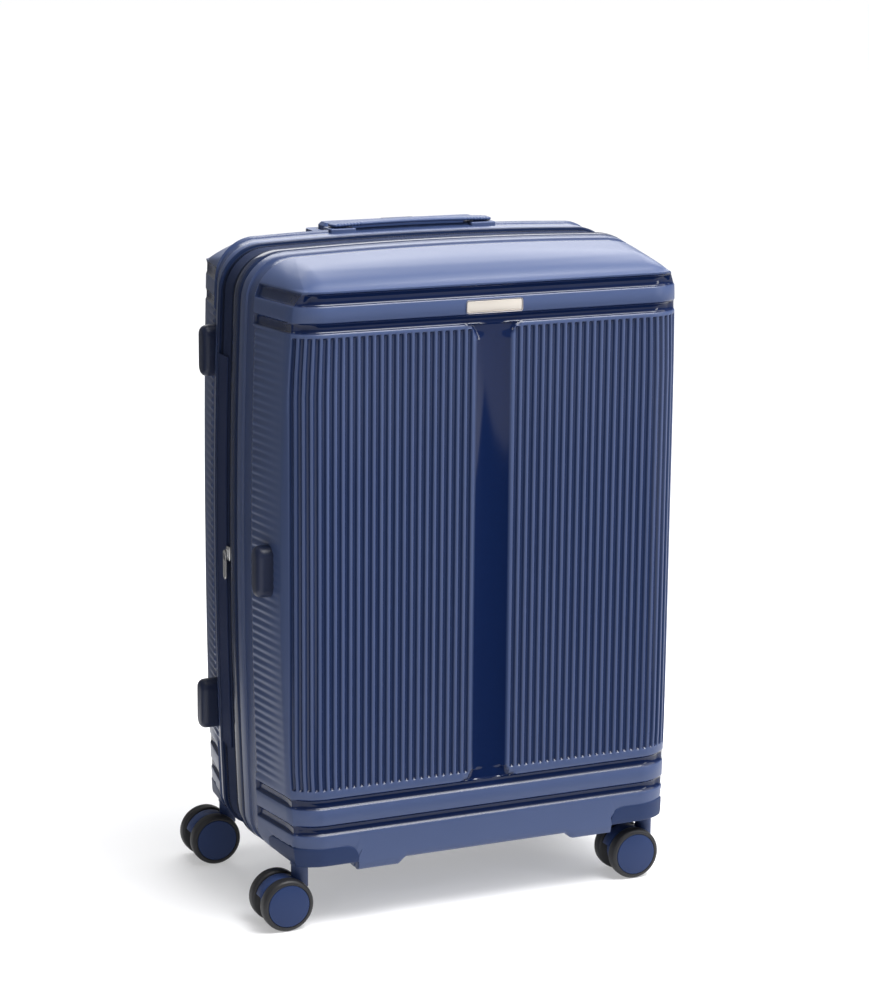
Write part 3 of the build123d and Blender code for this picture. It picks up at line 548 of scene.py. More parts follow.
def makeGrain():
    # fine moulded texture and a slow change of tone
    group, given, out = newGroup(
        "grain", (("Fine", "NodeSocketFloat", 1500.0), ("Slow", "NodeSocketFloat", 9.0)),
        (("Height", "NodeSocketFloat"), ("Tone", "NodeSocketFloat")))
    coords = group.nodes.new("ShaderNodeTexCoord")
    for label, socket, detail in (("Fine", "Height", 1.0), ("Slow", "Tone", 4.0)):
        noise = group.nodes.new("ShaderNodeTexNoise")
        noise.inputs["Detail"].default_value = detail
        group.links.new(coords.outputs["Object"], noise.inputs["Vector"])
        group.links.new(given.outputs[label], noise.inputs["Scale"])
        group.links.new(noise.outputs["Fac"], out.inputs[socket])
    return group


def feed(tree, socket, value):
    # a link where the value comes from a node, else a constant
    if isinstance(value, bpy.types.NodeSocket):
        tree.links.new(value, socket)
    else:
        socket.default_value = value


def mathNode(tree, operation, *values):
    node = tree.nodes.new("ShaderNodeMath")
    node.operation = operation
    for socket, value in zip(node.inputs, values):
        feed(tree, socket, value)
    return node.outputs[0]


def makeWeave():
    # threads that pass over and under each other; Shade is the same as Height, so the cloth's colour gets painted shade
    # in the low parts of the weave
    group, given, out = newGroup(
        "weave", (("Place", "NodeSocketVector", (0, 0, 0)), ("Threads", "NodeSocketFloat", 500.0)),
        (("Height", "NodeSocketFloat"), ("Shade", "NodeSocketFloat")))
    parts = group.nodes.new("ShaderNodeSeparateXYZ")
    group.links.new(given.outputs["Place"], parts.inputs[0])
    across, down = (mathNode(group, "SINE", mathNode(group, "MULTIPLY", parts.outputs[axis], given.outputs["Threads"]))
                    for axis in ("X", "Y"))
    height = mathNode(group, "MULTIPLY_ADD", mathNode(group, "MULTIPLY", across, 0.5), down, 0.5)
    for label in ("Height", "Shade"):
        group.links.new(height, out.inputs[label])
    return group


grain = makeGrain()
weave = makeWeave()


def startMaterial(name):
    material = bpy.data.materials.new(name)
    material.use_nodes = True
    tree = material.node_tree
    return material, tree, tree.nodes["Principled BSDF"]


def useGroup(tree, group, values):
    node = tree.nodes.new("ShaderNodeGroup")
    node.node_tree = group
    for label, value in values.items():
        feed(tree, node.inputs[label], value)
    return node


def mixColours(tree, factor, dark, light):
    mix = tree.nodes.new("ShaderNodeMix")
    mix.data_type = "RGBA"
    tree.links.new(factor, mix.inputs["Factor"])
    sockets = [s for s in mix.inputs if s.type == "RGBA"]
    for socket, value in zip(sockets, (dark, light)):
        feed(tree, socket, (*value, 1) if isinstance(value, tuple) else value)
    return [s for s in mix.outputs if s.type == "RGBA"][0]


def spreadValue(tree, factor, low, high, start=0.3, stop=0.7):
    spread = tree.nodes.new("ShaderNodeMapRange")
    for label, value in (("Value", factor), ("From Min", start), ("From Max", stop), ("To Min", low), ("To Max", high)):
        feed(tree, spread.inputs[label], value)
    return spread.outputs["Result"]


def bumpFrom(tree, height, strength, distance):
    bump = tree.nodes.new("ShaderNodeBump")
    for label, value in (("Height", height), ("Strength", strength), ("Distance", distance)):
        feed(tree, bump.inputs[label], value)
    return bump.outputs["Normal"]


def feedShader(tree, shader, colour, rough, normal, reflection):
    for label, value in (("Base Color", colour), ("Roughness", rough), ("Normal", normal),
                         ("Specular IOR Level", reflection)):
        feed(tree, shader.inputs[label], value)


def mouldedMaterial(name, dark, light, rough, metallic=0.0, strength=0.0, reflection=0.3):
    material, tree, shader = startMaterial(name)
    effect = useGroup(tree, grain, {"Fine": 1500.0, "Slow": 14.0})
    tone = effect.outputs["Tone"]
    feedShader(tree, shader, mixColours(tree, tone, dark, light), spreadValue(tree, tone, rough - 0.05, rough + 0.05),
               bumpFrom(tree, effect.outputs["Height"], strength, 0.00006), reflection)
    shader.inputs["Metallic"].default_value = metallic
    return material


def clothMaterial(name, dark, light, threads, source):
    material, tree, shader = startMaterial(name)
    coords = tree.nodes.new("ShaderNodeTexCoord")
    cloth = useGroup(tree, weave, {"Place": coords.outputs[source], "Threads": threads})
    effect = useGroup(tree, grain, {"Fine": 700.0, "Slow": 12.0})
    # colour follows the weave's height: painted shade in its low parts, lighter on the raised threads
    feedShader(tree, shader, mixColours(tree, cloth.outputs["Shade"], dark, light),
               spreadValue(tree, effect.outputs["Tone"], 0.79, 0.91),
               bumpFrom(tree, cloth.outputs["Height"], 0.7, 0.0003), 0.2)
    return material


def shellMaterial():
    # satin textured lands and polished grooves; the attribute that sets the gloss also blends in a far darker colour
    # there, painted shade in the grooves and recesses
    look = shellLook
    material, tree, shader = startMaterial("mouldedShell")
    effect = useGroup(tree, grain, {"Fine": 1300.0, "Slow": 5.0})
    polish = tree.nodes.new("ShaderNodeAttribute")
    polish.attribute_name = "polish"
    tone, fac = effect.outputs["Tone"], polish.outputs["Fac"]
    land = mixColours(tree, tone, look["landDark"], look["land"])
    groove = mixColours(tree, tone, look["grooveShadedDark"], look["groove"])
    satin = spreadValue(tree, tone, look["landRough"] - 0.03, look["landRough"] + 0.03)
    height = tree.nodes.new("ShaderNodeMix")
    tree.links.new(fac, height.inputs["Factor"])
    tree.links.new(effect.outputs["Height"], height.inputs["A"])
    height.inputs["B"].default_value = 0.5
    feedShader(tree, shader, mixColours(tree, fac, land, groove),
               spreadValue(tree, fac, satin, look["grooveRough"], 0.0, 1.0),
               bumpFrom(tree, height.outputs["Result"], 0.3, 0.00008), look["reflection"])
    return material


# name, darker and lighter colour, roughness, metal, strength of the grain and reflection
mouldedLooks = {
    "bead": ("glossBead", (0.008, 0.015, 0.045), (0.010, 0.019, 0.054), 0.14, 0.0, 0.08, 0.15),
    "guard": ("matteGuard", (0.010, 0.022, 0.070), (0.013, 0.027, 0.082), 0.5, 0.0, 0.4, 0.2),
    "teeth": ("zipTeeth", (0.004, 0.007, 0.020), (0.007, 0.011, 0.030), 0.5, 0.0, 0.1, 0.12),
    "tyre": ("tyreRubber", (0.012, 0.012, 0.014), (0.020, 0.020, 0.023), 0.48, 0.0, 0.3, 0.3),
    "wheel_cap": ("hubCap", (0.013, 0.027, 0.084), (0.017, 0.033, 0.098), 0.42, 0.0, 0.25, 0.2),
    "fork": ("casterFork", (0.017, 0.033, 0.100), (0.021, 0.040, 0.116), 0.46, 0.0, 0.3, 0.3),
    "steel": ("turnedSteel", (0.42, 0.42, 0.43), (0.56, 0.56, 0.57), 0.28, 1.0, 0.1, 0.3),
    "tube": ("drawnTube", (0.62, 0.63, 0.65), (0.72, 0.73, 0.75), 0.3, 1.0, 0.1, 0.3),
    "handle": ("handleRubber", (0.030, 0.052, 0.130), (0.036, 0.060, 0.148), 0.42, 0.0, 0.3, 0.3),
    "foot": ("footPlastic", (0.008, 0.013, 0.036), (0.011, 0.017, 0.044), 0.36, 0.0, 0.2, 0.3),
    "plate": ("palePlate", (0.66, 0.61, 0.55), (0.74, 0.69, 0.63), 0.34, 0.6, 0.05, 0.3),
    "pull": ("zincPull", (0.50, 0.50, 0.50), (0.66, 0.66, 0.66), 0.22, 1.0, 0.1, 0.3),
    "dial": ("dialPlastic", (0.62, 0.62, 0.62), (0.74, 0.74, 0.74), 0.4, 0.0, 0.2, 0.3),
    "lock": ("lockBody", (0.016, 0.018, 0.024), (0.024, 0.027, 0.034), 0.35, 0.0, 0.2, 0.3),
}
# name, colour in the low parts of the weave (painted shade) and on the raised threads, threads and their coordinates
clothLooks = {
    "tape": ("zipTape", (0.004, 0.009, 0.032), (0.011, 0.022, 0.066), 5200.0, "UV"),
    "hinge": ("hingeWeb", (0.006, 0.011, 0.038), (0.015, 0.026, 0.074), 4200.0, "UV"),
    "lining": ("liningCloth", (0.045, 0.050, 0.062), (0.085, 0.092, 0.108), 3600.0, "Object"),
}
finishes = {"shell": shellMaterial()}
finishes.update((k, mouldedMaterial(*look)) for k, look in mouldedLooks.items())
finishes.update((k, clothMaterial(*look)) for k, look in clothLooks.items())
print("materials made")


def finishPiece(piece, body, finish, replaced=(), degrees=38):
    smoothShade(piece, degrees)
    piece.data.materials.clear()
    piece.data.materials.append(finishes[finish])
    if body:
        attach(piece, body)
    if replaced:
        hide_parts(*replaced)
    return piece


# wheel housings over the lower corners, matte, with a rounded upper end on the face and on the side
def guardMesh(name, rim, ySign):
    f = guardForm
    bm = bmesh.new()
    start, back = f["inner"] + f["seam"], f["back"] + f["seam"]

    def spot(t, z):
        # along the face to the crisp edge, then back along the side
        limit = edgeRun(z, rim)
        if t <= 1:
            x, d = facePoint(start + (limit - start) * t)
            return Vector((x, d)), start + (limit - start) * t - f["inner"]
        corner = facePoint(limit)[1]
        d = corner + (back - corner) * (t - 1)
        return Vector((sideX(z, d, rim), d)), d - f["back"]

    columns = [k / 40 for k in range(41)] + [1 + k / 26 for k in range(1, 27)]
    for side in (-1, 1):
        grid = []
        for t in columns:
            high = guardTop(spot(t, f["high"] - 8)[1]) - f["seam"] / 2
            lowWall, highWall = f["low"] + 3, high + f["edge"][-1][1]
            heights = [(inset, high + drop) for inset, drop in f["edge"]]
            heights += [(0.0, lowWall + (highWall - lowWall) * k) for k in (0.75, 0.5, 0.25, 0.0)]
            heights += [(inset, f["low"] + rise) for inset, rise in f["foot"]]
            column = []
            for inset, z in heights:
                before, after = spot(max(t - 0.01, 0.0), z)[0], spot(min(t + 0.01, 2.0), z)[0]
                way = (after - before).normalized()
                p = spot(t, z)[0] + Vector((-way.y, way.x)) * (f["proud"] - inset)
                column.append(point(bm, side * p.x, ySign * p.y, z))
            grid.append(column)
        bridge(bm, grid, False)
    return newPiece(name, bm)


for half, ySign in (("front", -1), ("rear", 1)):
    rim = caseForm[half + "Rim"]
    shell = buildShell(half + "Moulding", rim, ySign)
    finishPiece(shell, half + "_half", "shell", (half + "_shell",))
    guards = guardMesh(half + "Guards", rim, ySign)
    finishPiece(guards, half + "_half", "guard", (half + "_corner_guards",))
print("shells and guards made")


@functools.lru_cache(maxsize=None)
def rimOutline(pitch):
    # points and outward directions at even steps round the rim
    centre = (caseForm["top"] + caseForm["low"]) / 2
    turns = [math.tau * k / 1440 for k in range(1441)]
    dense = [Vector(outlinePoint(0.0, centre, math.cos(a), math.sin(a), 0.0, 0.0)) for a in turns]
    lengths = runLengths(dense)
    count = round(lengths[-1] / pitch)
    points = pointsAlong(dense, lengths, [k / count for k in range(count)])
    outline = []
    for k, p in enumerate(points):
        t = (points[(k + 1) % count] - points[k - 1]).normalized()
        outline.append((p, Vector((t.y, -t.x))))
    return outline, lengths[-1] / count


def weaveFaces(bm, place, rings, runs, across):
    # faces round each profile, laid out flat along the runs for the weave
    count = len(rings[0])
    for k, (a, b) in enumerate(zip(rings, rings[1:])):
        for j in range(count):
            n = (j + 1) % count
            face = bm.faces.new((a[j], a[n], b[n], b[j]))
            for loop, (u, v) in zip(face.loops, ((k, j), (k, j + 1), (k + 1, j + 1), (k + 1, j))):
                loop[place].uv = (runs[u] * mm, across[v] * mm)


def sweepRing(name, profiles, pitch=5.0):
    # closed profiles of (inset, y) carried round the rim
    outline, step = rimOutline(pitch)
    runs = [k * step for k in range(len(outline) + 1)]
    bm = bmesh.new()
    place = bm.loops.layers.uv.new("UVMap")
    for profile in profiles:
        corners = [Vector(corner) for corner in profile]
        rings = [[point(bm, p.x - n.x * i, y, p.y - n.y * i) for i, y in profile] for p, n in outline]
        weaveFaces(bm, place, rings + rings[:1], runs, runLengths(corners + corners[:1]))
    return newPiece(name, bm)


rimForm = {
    "tapeInset": 2.2, "tapeInner": 4.2, "tapeFront": -1.3, "tapeRear": 38.2,
    "zipCut": ((0.8, 0.0), (0.7, 2.6), (0.0, 3.4)),
    "expanderZip": 5.7, "mainZip": 33.0, "zipGap": 0.15, "stripLow": 150.0, "stripHigh": 552.0,
    "frontBead": ((6.0, -19.0), (1.6, -19.0), (0.5, -18.7), (-0.2, -17.9), (-0.6, -16.4), (-0.9, -13.6), (-1.0, -10.0),
                  (-0.9, -6.4), (-0.6, -3.8), (-0.2, -2.2), (0.5, -1.3), (1.6, -1.0), (6.0, -1.0)),
    "frontLip": ((1.8, -20.0), (1.8, -18.9), (6.0, -18.9), (6.0, -20.0)),
    "rearBead": ((6.0, 38.0), (0.4, 38.0), (-0.5, 38.4), (-0.9, 39.0), (-1.0, 39.6), (-0.8, 40.3), (-0.3, 40.8),
                 (0.6, 41.0), (6.0, 41.0)),
    "gussetInset": 9.8, "gussetInner": 11.4, "gussetFlange": 4.0,
    "toothPitch": 2.6, "toothHalf": 0.45, "toothRow": 1.4,
    "tooth": ((3.0, -1.3), (2.2, -1.3), (1.95, -0.9), (1.95, 0.9), (2.2, 1.3), (3.0, 1.3)),
}


def tapeProfile(front, rear, zipAtFront, zipAtRear):
    # flat tape that thins towards a zip
    f = rimForm
    plain = ((0.0, 0.0),)
    outer = [(f["tapeInset"] + cut, front + step) for cut, step in (f["zipCut"] if zipAtFront else plain)]
    outer += [(f["tapeInset"] + cut, rear - step) for cut, step in reversed(f["zipCut"] if zipAtRear else plain)]
    return outer + [(f["tapeInner"], rear), (f["tapeInner"], front)]


def gussetProfile():
    # sleeve inside the lid frame that closes the gap when the case is expanded
    f = rimForm
    front, rear = (corner[1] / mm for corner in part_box("expander_gusset"))
    edge = rear - f["gussetFlange"]
    return [(f["gussetInset"], front), (f["gussetInset"], edge), (f["tapeInner"], edge),
            (f["tapeInner"], rear), (f["gussetInner"], rear), (f["gussetInner"], front)]


mainZip, expanderZip, zipGap = (rimForm[k] for k in ("mainZip", "expanderZip", "zipGap"))
for name, profiles, body, finish, replaced in (
        ("frontBead", (rimForm["frontBead"], rimForm["frontLip"]), "front_half", "bead", ("front_rim",)),
        ("frontTape", (tapeProfile(rimForm["tapeFront"], expanderZip - zipGap, False, True),), "front_half", "tape",
         ()),
        ("lidBand", (tapeProfile(expanderZip + zipGap, mainZip - zipGap, True, True),), "lid_frame", "tape",
         ("main_zip_front_tape",)),
        ("rearTape", (tapeProfile(mainZip + zipGap, rimForm["tapeRear"], True, False),), "rear_half", "tape",
         ("main_zip_rear_tape",)),
        ("rearBead", (rimForm["rearBead"],), "rear_half", "bead", ("rear_rim",)),
        ("gusset", (gussetProfile(),), "lid_frame", "lining", ("expander_gusset",))):
    finishPiece(sweepRing(name, profiles), body, finish, replaced)
print("rims made")


def toothRow(name, y, shift, body, skipStrip):
    # one small bar for every step of the outline; two rows mesh
    f = rimForm
    outline, step = rimOutline(f["toothPitch"])
    bm = bmesh.new()
    for k, (p, n) in enumerate(outline):
        if skipStrip and p.x < -150 and f["stripLow"] + 4 < p.y < f["stripHigh"] - 4:
            continue
        t = (outline[(k + 1) % len(outline)][0] - p).normalized()
        c = p + t * shift * step
        ends = []
        for reach in (-f["toothHalf"], f["toothHalf"]):
            e = c + t * reach
            ends.append([point(bm, e.x - n.x * i, y + w, e.y - n.y * i) for i, w in f["tooth"]])
        closedTube(bm, ends)
    finishPiece(newPiece(name, bm), body, "teeth", degrees=30)


toothRow("mainTeethLid", mainZip - rimForm["toothRow"], 0.0, "lid_frame", True)
toothRow("mainTeethRear", mainZip + rimForm["toothRow"], 0.5, "rear_half", True)
toothRow("expanderTeethLid", expanderZip + rimForm["toothRow"], 0.0, "lid_frame", False)
toothRow("expanderTeethFront", expanderZip - rimForm["toothRow"], 0.5, "front_half", False)


# fabric strip over the zip on the hinge side, rolled at its edges
def hingeWeb():
    f = rimForm
    profile = [(1.9, 12.6), (1.5, 12.1), (0.9, 12.2), (0.45, 12.9), (0.35, 14.0)]
    profile += [(0.4, 15.5 + 1.25 * k) for k in range(16)]
    profile += [(0.35, 35.6), (0.45, 36.6), (0.9, 37.4), (1.5, 37.6), (1.9, 37.0)]
    profile += [(1.9, 35.0 - 1.25 * k) for k in range(17)]
    rows = [f["stripLow"] + (f["stripHigh"] - f["stripLow"]) * k / 80 for k in range(81)]
    bm = bmesh.new()
    place = bm.loops.layers.uv.new("UVMap")
    rings = []
    for z in rows:
        x = sideX(z, 0.0, 0.0)
        roll = 0.5 * (ease(6, 1.5, z - rows[0]) + ease(6, 1.5, rows[-1] - z))
        rings.append([point(bm, i - x - (roll if i < 1 else 0), y, z) for i, y in profile])
    weaveFaces(bm, place, rings, rows, [y for i, y in profile + profile[:1]])
    bm.faces.new(rings[0])
    bm.faces.new(list(reversed(rings[-1])))
    strip = newPiece("hingeWeb", bm)
    finishPiece(strip, None, "hinge", ("hinge_strip",), 60)
    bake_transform(strip)


hingeWeb()
print("zips made")


# pill feet on the left side
footForm = {
    "length": 52.0, "width": 22.0, "rear": ((66.0, 183.0, 5.5), (66.0, 550.0, 0.0)), "front": ((-82.0, 357.0, 0.0),),
    "steps": ((0.0, 206.0), (0.0, 223.5), (0.4, 226.0), (1.4, 228.1), (3.0, 229.6), (5.2, 230.3), (8.0, 230.5)),
}


def pillOutline(length, width, inset, count=24):
    r = width / 2 - inset
    straight = (length - width) / 2
    points = []
    for first, shift in ((0.0, straight), (math.pi, -straight)):
        for k in range(count + 1):
            a = first + math.pi * k / count
            points.append((r * math.cos(a), shift + r * math.sin(a)))
    return points


def pillFeet(name, places):
    f = footForm
    bm = bmesh.new()
    for y, z, out in places:
        rings = []
        for inset, x in f["steps"]:
            outline = pillOutline(f["length"], f["width"], inset)
            rings.append([point(bm, -x - out, y + a, z + b) for a, b in outline])
        closedTube(bm, rings)
    return newPiece(name, bm)


finishPiece(pillFeet("rearFeet", footForm["rear"]), "rear_half", "foot", ("rear_side_feet",))
finishPiece(pillFeet("frontFoot", footForm["front"]), "front_half", "foot", ("front_side_foot",))


# carry handles: a slim bar with ribbed ends on two legs
handleForm = {
    "half": 89.0, "width": 20.0, "thick": 4.4, "arch": 2.0, "endRound": 7.0, "endShare": 0.35,
    "square": 0.6, "around": 28,
    "ribStart": 58.0, "ribStop": 87.0, "ribPitch": 3.5, "ribDepth": 0.6,
    "legX": 78.0, "legLength": 12.0, "legWidth": 8.0, "legDrop": 24.0, "legTop": -5.0, "topY": 72.0, "topZ": 673.0,
    "seat": (28.0, 22.0, 12.0), "seatTop": 666.4, "seatProud": 2.4, "seatRound": 1.6,
}


def handleMesh(name):
    f = handleForm
    bm = bmesh.new()
    rings = []
    for step in range(241):
        x = -f["half"] + 2 * f["half"] * step / 240
        ax = abs(x)
        end = math.sqrt(max(1 - max((ax - f["half"] + f["endRound"]) / f["endRound"], 0.0) ** 2, 0.0))
        share = (f["endShare"] + (1 - f["endShare"]) * end) / 2
        dip = 0.0
        if f["ribStart"] < ax < f["ribStop"]:
            dip = f["ribDepth"] * (0.5 - 0.5 * math.cos(math.tau * (ax - f["ribStart"]) / f["ribPitch"]))
        width, thick = f["width"] * share - dip, f["thick"] * share - dip
        z = -f["thick"] / 2 - f["arch"] * (x / f["half"]) ** 2
        ring = []
        for k in range(f["around"]):
            a = math.tau * k / f["around"]
            c, s = (math.copysign(abs(v) ** f["square"], v) for v in (math.cos(a), math.sin(a)))
            ring.append(point(bm, x, c * width, z + s * thick))
        rings.append(ring)
    closedTube(bm, rings)
    for side in (-1, 1):
        addBox(bm, (f["legLength"], f["legWidth"], f["legDrop"]), (side * f["legX"], 0, f["legTop"] - f["legDrop"] / 2))
    return newPiece(name, bm)


topHandle = handleMesh("topHandle")
topHandle.data.transform(Matrix.Translation((0, handleForm["topY"] * mm, handleForm["topZ"] * mm)))
finishPiece(topHandle, "top_handle", "handle", ("top_carry_handle",))
sideHandle = handleMesh("sideHandle")
sideLow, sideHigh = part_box("side_carry_handle")
sideSpot = Vector((sideHigh.x, (sideLow.y + sideHigh.y) / 2, (sideLow.z + sideHigh.z) / 2))
turn = Matrix(((0, 0, 1, sideSpot.x), (0, 1, 0, sideSpot.y), (-1, 0, 0, sideSpot.z), (0, 0, 0, 1)))
sideHandle.data.transform(turn)
finishPiece(sideHandle, "side_handle", "handle", ("side_carry_handle",))


# low seats that the handle legs slide through
def handleSeats(name):
    f = handleForm
    bm = bmesh.new()
    y, z = sideSpot.y / mm, sideSpot.z / mm
    sink = f["seat"][2] / 2
    flank = sideX(z, y, caseForm["rearRim"])
    for side in (-1, 1):
        addBox(bm, f["seat"], (side * f["legX"], f["topY"], f["seatTop"] - sink), f["seatRound"], 4)
        addBox(bm, f["seat"][::-1], (flank + f["seatProud"] - sink, y, z + side * f["legX"]), f["seatRound"], 4)
    return newPiece(name, bm)


finishPiece(handleSeats("handleSeats"), "rear_half", "shell", ("carry_handle_anchors",))

# nameplate, left bare
plateForm = {"width": 60.0, "height": 13.0, "z": 611.8, "front": -133.0, "rear": -131.4, "corner": 2.4, "edge": 0.3}


def nameplate(name):
    f = plateForm
    bm = bmesh.new()
    middle = (0, (f["front"] + f["rear"]) / 2, f["z"])
    addBox(bm, (f["width"], f["rear"] - f["front"], f["height"]), middle, f["corner"], 6)
    # its rounding is wider than the plate is thick, so the faces keep the box's directions
    piece = newPiece(name, bm, turnFaces=False)
    edgeRound = piece.modifiers.new("edgeRound", "BEVEL")
    edgeRound.width = f["edge"] * mm
    edgeRound.segments = 3
    edgeRound.limit_method = "ANGLE"
    bpy.context.view_layer.objects.active = piece
    bpy.ops.object.modifier_apply(modifier=edgeRound.name)
    return piece


finishPiece(nameplate("nameplateFace"), "front_half", "plate", ("nameplate",))
print("feet, handles and plate made")


# casters: turned tyres and caps on a fork
casterForm = {
    "stemX": 192.5, "stemY": 104.0, "trail": 19.7, "radius": 26.5, "gap": 9.0,
    "tyre": ((3.1, 0.0), (19.5, 0.0), (20.2, 0.5), (23.8, 0.5), (25.3, 1.2), (26.2, 2.5), (26.5, 4.2), (26.5, 9.8),
             (26.2, 11.5), (25.3, 12.9), (23.8, 13.7), (22.6, 13.9), (21.9, 13.7), (21.6, 13.0), (21.5, 12.0),
             (3.1, 12.0)),
    "cap": ((0.0, 12.1), (21.3, 12.1), (21.35, 13.4), (21.1, 13.8), (20.5, 14.0), (0.0, 14.0)),
    "stem": ((8.5, 38.0), (8.5, 60.5), (9.2, 61.2), (9.2, 64.4)),
    "fenderSpan": (16.0, 164.0), "webSpan": (-90.0, 262.0),
    "fender": ((24.8, -6.2), (24.3, -7.1), (20.9, -7.1), (20.4, -6.2), (20.4, 6.2), (20.9, 7.1), (24.3, 7.1),
               (24.8, 6.2)),
    "web": ((20.6, -2.5), (3.2, -2.5), (3.2, 2.5), (20.6, 2.5)),
}


def circle(r, steps):
    return [(r * math.cos(math.tau * k / steps), r * math.sin(math.tau * k / steps)) for k in range(steps)]


def lathe(name, profile, centre, side, steps=96):
    bm = bmesh.new()
    rings = []
    for r, w in profile:
        x, y, z = centre[0], centre[1] + side * w, centre[2]
        if r > 0:
            rings.append([point(bm, x + a, y, z + b) for a, b in circle(r, steps)])
        else:
            rings.append([point(bm, x, y, z)] * steps)
    bridge(bm, rings + rings[:1] if profile[0][0] > 0 else rings)
    return newPiece(name, bm)


def casterFork(name, stemX, stemY):
    # round stem that runs into a fender between the wheels, with a web down to the axle
    f = casterForm
    bm = bmesh.new()
    closedTube(bm, [[point(bm, stemX + a, stemY + b, z) for a, b in circle(r, 48)] for r, z in f["stem"]])
    for section, (first, last) in ((f["fender"], f["fenderSpan"]), (f["web"], f["webSpan"])):
        arc = []
        for k in range(57):
            a = math.radians(first + (last - first) * k / 56)
            c, s = math.cos(a), math.sin(a)
            arc.append([point(bm, stemX - f["trail"] + r * c, stemY + w, f["radius"] + r * s) for r, w in section])
        closedTube(bm, arc)
    return newPiece(name, bm)


def camel(label):
    first, *rest = label.split("_")
    return first + "".join(word.capitalize() for word in rest)


corners = {"front_left": (-1, -1), "front_right": (1, -1), "rear_left": (-1, 1), "rear_right": (1, 1)}
for corner, (sx, sy) in corners.items():
    f = casterForm
    stemX, stemY = sx * f["stemX"], sy * f["stemY"]
    fork = casterFork(camel(corner) + "Fork", stemX, stemY)
    finishPiece(fork, corner + "_caster", "fork", (corner + "_fork",))
    for letter, side in (("a", -1), ("b", 1)):
        spot = (stemX - f["trail"], stemY + side * f["gap"], f["radius"])
        short = camel(corner) + letter.upper()
        wheel = corner + "_wheel_" + letter
        finishPiece(lathe(short + "Tyre", f["tyre"], spot, side), wheel, "tyre", (wheel,))
        finishPiece(lathe(short + "Cap", f["cap"], spot, side), wheel, "wheel_cap",
                    (corner + "_cap_" + letter,))
print("casters made")


# zip sliders and their pulls
sliderForm = {
    "length": 14.0, "width": 9.0, "base": 2.4, "height": 4.0, "baseRound": 1.0, "seat": 1.9,
    "bridgeWidth": 3.4, "bridgeLength": 9.0, "bridgeSink": 0.8, "bridgeShift": 0.5, "bridgeRound": 0.7,
    "pullLength": 30.0, "pullWidth": 8.0, "pullThick": 1.6, "pullSoft": 0.3, "gap": 0.3,
    "holeLength": 9.0, "holeWidth": 4.2, "holeEdge": 2.4,
}


def sliderMesh(name):
    f = sliderForm
    bm = bmesh.new()
    addBox(bm, (f["base"], f["width"], f["length"]), (f["base"] / 2, 0, 0), f["baseRound"])
    low = f["base"] - f["bridgeSink"]
    addBox(bm, (f["height"] - low, f["bridgeWidth"], f["bridgeLength"]),
           ((low + f["height"]) / 2, 0, f["bridgeShift"]), f["bridgeRound"])
    return newPiece(name, bm)


def pullMesh(name):
    f = sliderForm
    bm = bmesh.new()
    drop = (f["pullWidth"] - f["pullLength"]) / 2
    raised = (f["pullLength"] - f["holeLength"]) / 2 - f["holeEdge"]
    outer = pillOutline(f["pullLength"], f["pullWidth"], 0.0)
    soft = pillOutline(f["pullLength"], f["pullWidth"], f["pullSoft"])
    hole = [(a, b + raised) for a, b in pillOutline(f["holeLength"], f["holeWidth"], 0.0)]
    x0 = f["height"] + f["gap"]
    x1 = x0 + f["pullThick"]
    loops = []
    for outline, x in ((hole, x0), (soft, x0), (outer, x0 + f["pullSoft"]),
                       (outer, x1 - f["pullSoft"]), (soft, x1), (hole, x1)):
        loops.append([point(bm, x, a, b + drop) for a, b in outline])
    bridge(bm, loops + loops[:1])
    return newPiece(name, bm)


for label, body, y, z, side in (("main_slider_upper", "main_zip_upper", mainZip, 545.0, 1),
                                ("main_slider_lower", "main_zip_lower", mainZip, 470.0, 1),
                                ("expander_slider", "expander_zip", expanderZip, 355.0, -1)):
    seat = side * (sideX(z, 0.0, 0.0) - sliderForm["seat"])
    place = Matrix.Translation((seat * mm, y * mm, z * mm)) @ Matrix.Diagonal((side, side, 1, 1))
    for make, ending, rider, node in ((sliderMesh, "Block", body, label),
                                      (pullMesh, "Tab", body + "_pull", label.replace("slider", "pull"))):
        piece = make(camel(label) + ending)
        piece.data.transform(place)
        finishPiece(piece, rider, "pull", (node,), 30)
print("sliders made")

# pieces that keep their plain form
dressed = {
    "lining": ("front_lining", "rear_lining"),
    "handle": ("trolley_bezel", "trolley_grip"),
    "foot": ("trolley_foot_bracket", "trolley_button"),
    "tube": ("trolley_outer_tubes", "trolley_mid_tubes", "trolley_inner_tubes"),
    "lock": ("lock_housing",),
    "pull": ("lock_button",),
    "dial": ("lock_dial_1", "lock_dial_2", "lock_dial_3"),
    "steel": tuple(corner + "_axle" for corner in corners),
}
for finish, names in dressed.items():
    for name in names:
        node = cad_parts[name]
        node.data.materials.clear()
        node.data.materials.append(finishes[finish])

# camera at the photograph's place
view = {"place": (-1.1645, -2.58515, 1.0401), "azimuth": 24.205, "elevation": 12.888, "roll": 0.467, "focal": 2841.7}
a, e, r = (math.radians(view[k]) for k in ("azimuth", "elevation", "roll"))
forward = Vector((math.sin(a) * math.cos(e), math.cos(a) * math.cos(e), -math.sin(e)))
right = Vector((math.cos(a), -math.sin(a), 0))
up = right.cross(forward)
right, up = right * math.cos(r) + up * math.sin(r), up * math.cos(r) - right * math.sin(r)
lens = bpy.data.cameras.new("camera")
lens.sensor_fit = "VERTICAL"
lens.sensor_height = 36.0
lens.lens = view["focal"] * 36.0 / 1000.0
camera = bpy.data.objects.new("camera", lens)
bpy.context.collection.objects.link(camera)
turn = Matrix((right, up, -forward)).transposed().to_4x4()
turn.translation = Vector(view["place"])
camera.matrix_world = turn
bpy.context.scene.camera = camera

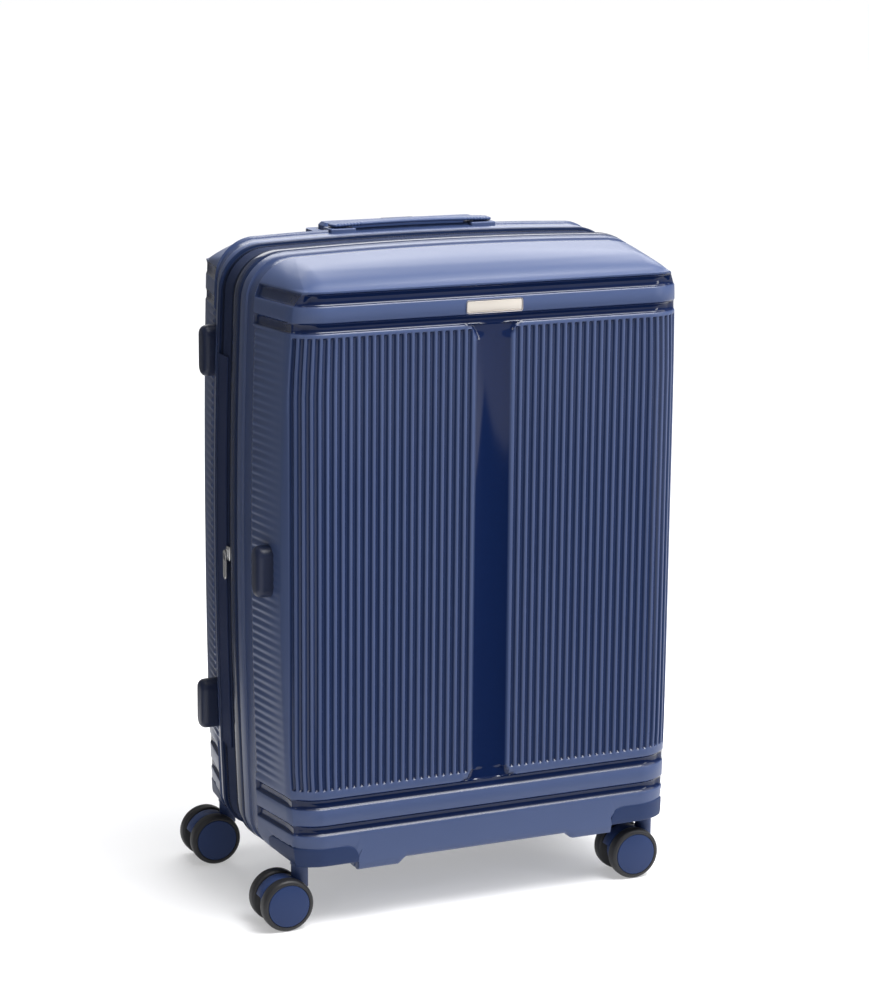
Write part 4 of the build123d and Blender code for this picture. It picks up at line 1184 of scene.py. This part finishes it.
# pale floor and soft studio light; a card has tone, size, place, lean, diffuse light and shade,
# a soft box has place, aim, size and power
stageForm = {
    "floorSize": 120.0, "floor": (0.62, 0.62, 0.63), "floorGlow": 0.36, "world": 0.3,
    "sun": 2.7, "sunSpread": 70.0, "sunTurn": (26.0, 0.0, 65.0),
    "cards": (("sideCard", 0.13, 1.7, (-0.95, 0.25, 0.87), (0.0, 90.0, 0.0), True, True),
              ("rearCard", 0.13, 2.0, (-0.55, 1.05, 1.01), (0.0, 90.0, 0.0), True, False),
              ("backCard", 0.13, 0.62, (-0.15, 0.6, 0.315), (90.0, 0.0, 0.0), False, False),
              ("floorCard", 0.01, 2.0, (0.7, -1.36, 0.004), (0.0, 0.0, 0.0), False, False)),
    "softBoxes": (("roofBox", (1.1, 2.5, 2.1), (0, 0, 0.66), (2.6, 1.3), 40.0),
                  ("overBox", (0.6, -0.75, 2.3), (0.0, -0.1, 0.4), (1.6, 0.9), 70.0),
                  ("leftBox", (-2.2, -2.1, 1.6), (0, -0.1, 0.45), (0.22, 0.4), 5.0),
                  ("rightBox", (2.2, -1.9, 1.1), (0.1, -0.1, 0.35), (0.3, 1.6), 14.0)),
}
bpy.ops.mesh.primitive_plane_add(size=stageForm["floorSize"], location=(0, 0, 0))
floor = bpy.context.active_object
floor.name = "floor"
pale = mouldedMaterial("paleFloor", stageForm["floor"], stageForm["floor"], 0.7)
glow = pale.node_tree.nodes["Principled BSDF"]
glow.inputs["Emission Color"].default_value = (1, 1, 1, 1)
glow.inputs["Emission Strength"].default_value = stageForm["floorGlow"]
floor.data.materials.append(pale)

# dark cards out of the picture, for the shade of the left side and for reflections
for name, tone, size, place, lean, diffuse, shades in stageForm["cards"]:
    bpy.ops.mesh.primitive_plane_add(size=size, location=place, rotation=[math.radians(v) for v in lean])
    card = bpy.context.active_object
    card.name = name
    card.data.materials.append(mouldedMaterial(name + "Paper", (tone,) * 3, (tone * 1.1,) * 3, 0.8))
    card.visible_camera = False
    card.visible_diffuse = diffuse
    card.visible_shadow = shades
world = bpy.data.worlds.new("studio")
bpy.context.scene.world = world
world.use_nodes = True
sky = world.node_tree.nodes["Background"].inputs
sky["Color"].default_value = (1, 1, 1, 1)
sky["Strength"].default_value = stageForm["world"]
sunTurn = [math.radians(v) for v in stageForm["sunTurn"]]
bpy.ops.object.light_add(type="SUN", location=(0, 0, 3), rotation=sunTurn)
sun = bpy.context.active_object
sun.name = "overhead"
sun.data.energy = stageForm["sun"]
sun.data.angle = math.radians(stageForm["sunSpread"])
for name, place, aim, size, energy in stageForm["softBoxes"]:
    bpy.ops.object.light_add(type="AREA", location=place)
    light = bpy.context.active_object
    light.name = name
    light.data.shape = "RECTANGLE"
    light.data.size, light.data.size_y = size
    light.data.energy = energy
    light.rotation_euler = (Vector(aim) - Vector(place)).to_track_quat("-Z", "Y").to_euler()
bpy.context.scene.view_settings.view_transform = "Standard"

bpy.context.view_layer.update()
